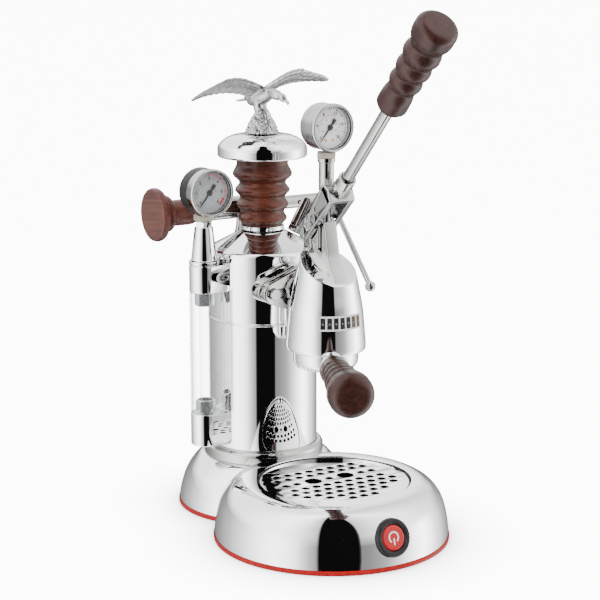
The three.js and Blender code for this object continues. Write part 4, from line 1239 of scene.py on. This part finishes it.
def tent_wall(tree, share, tent):
    return ramp(tree, share, [((angle + 180) / 360, (brightness / PEAK,) * 3) for angle, brightness in tent])


def studio_air():
    """Mirrors see a white tent with a dark flag, soft surfaces an even light, and the camera plain white."""
    world = bpy.data.worlds.new("studio_air")
    bpy.context.scene.world = world
    world.use_nodes = True
    tree = world.node_tree
    tree.nodes.clear()
    toward = (CAMERA - TARGET).to_2d().normalized()
    source = tree.nodes.new("ShaderNodeTexCoord")
    turn = add_node(tree, "ShaderNodeMapping", {
        "Vector": source.outputs["Generated"], "Rotation": (0, 0, -math.atan2(toward.y, toward.x)),
    })
    split = add_node(tree, "ShaderNodeSeparateXYZ", {"Vector": turn.outputs["Vector"]}).outputs
    angle = arithmetic(tree, "ARCTAN2", split["Y"], split["X"])
    share = spread(tree, angle, 0, 1, -math.pi, math.pi)
    low, high = (tent_wall(tree, share, tent) for tent in (LOW_TENT, HIGH_TENT))
    tent = blend(tree, spread(tree, split["Z"], 0, 1, 0.08, 0.3), low, high)
    ray = tree.nodes.new("ShaderNodeLightPath").outputs
    plain = blend(tree, ray["Is Camera Ray"], SOFT_LIGHT, WHITE_OUT, "FLOAT")
    air = add_node(tree, "ShaderNodeBackground", {
        "Strength": blend(tree, ray["Is Glossy Ray"], plain, PEAK, "FLOAT"),
        "Color": blend(tree, ray["Is Glossy Ray"], (1, 1, 1, 1), tent),
    })
    add_node(tree, "ShaderNodeOutputWorld", {"Surface": air.outputs[0]})


def floor():
    """Paper that the camera sees as white, with a painted contact shadow: ambient occlusion dims its glow
    where the object stands close to it.
    """
    bm = bmesh.new()
    bmesh.ops.create_grid(bm, x_segments=8, y_segments=8, size=6)
    mesh = bpy.data.meshes.new("floor")
    bm.to_mesh(mesh)
    bm.free()
    sheet = add_object("floor", mesh)
    sheet.location = (0, 0, -0.0002)
    sheet.visible_glossy = False
    finish, tree, shader = tree_of("floor_paper")
    # painted contact shadow: ambient occlusion dims the floor's camera-only glow near the object
    nook = add_node(tree, "ShaderNodeAmbientOcclusion", {"Distance": 0.07})
    nook.samples = 8
    painted_shadow_fade = arithmetic(tree, "POWER", nook.outputs["AO"], 3.2)
    ray = tree.nodes.new("ShaderNodeLightPath").outputs
    painted_shadow_glow = arithmetic(tree, "MULTIPLY", painted_shadow_fade, ray["Is Camera Ray"])
    wire(tree, shader, {
        "Base Color": tone(tree, grain(tree, coordinates(tree), 3), (0.94, 0.94, 0.94), (0.96, 0.96, 0.96)),
        "Roughness": 0.7,
        "Emission Strength": arithmetic(tree, "MULTIPLY", painted_shadow_glow, WHITE_OUT - SOFT_LIGHT),
        "Emission Color": (1, 1, 1, 1),
    })
    mesh.materials.append(finish)


def aim(piece, place):
    piece.location = place
    piece.rotation_mode = "QUATERNION"
    piece.rotation_quaternion = (TARGET - Vector(place)).to_track_quat("-Z", "Y")


def lamp(name, place, size, power):
    light = bpy.data.lights.new(name, "AREA")
    light.shape = "DISK"
    light.size = size
    light.energy = power
    piece = add_object(name, light)
    aim(piece, place)
    piece.visible_glossy = False
    piece.visible_camera = False


def camera():
    lens = bpy.data.cameras.new("camera")
    lens.lens = 108
    lens.sensor_width = 36
    eye = add_object("camera", lens)
    aim(eye, CAMERA)
    bpy.context.scene.camera = eye


for build in (
    base_shell, base_trim, drip_tray, drip_grille, switch, boiler, cap, eagle, sight_glass, gauges,
    steam_valve, steam_tap, steam_wand, safety_valve, group_joint, group_body, pins, thermometer, lever_fork,
    lever_grip, portafilter, inner_parts, studio_air, floor,
):
    build()
lamp("key", (-0.9, -0.9, 1.6), 0.5, 26)
lamp("fill", (1.3, -1.0, 1.2), 1.0, 6)
camera()
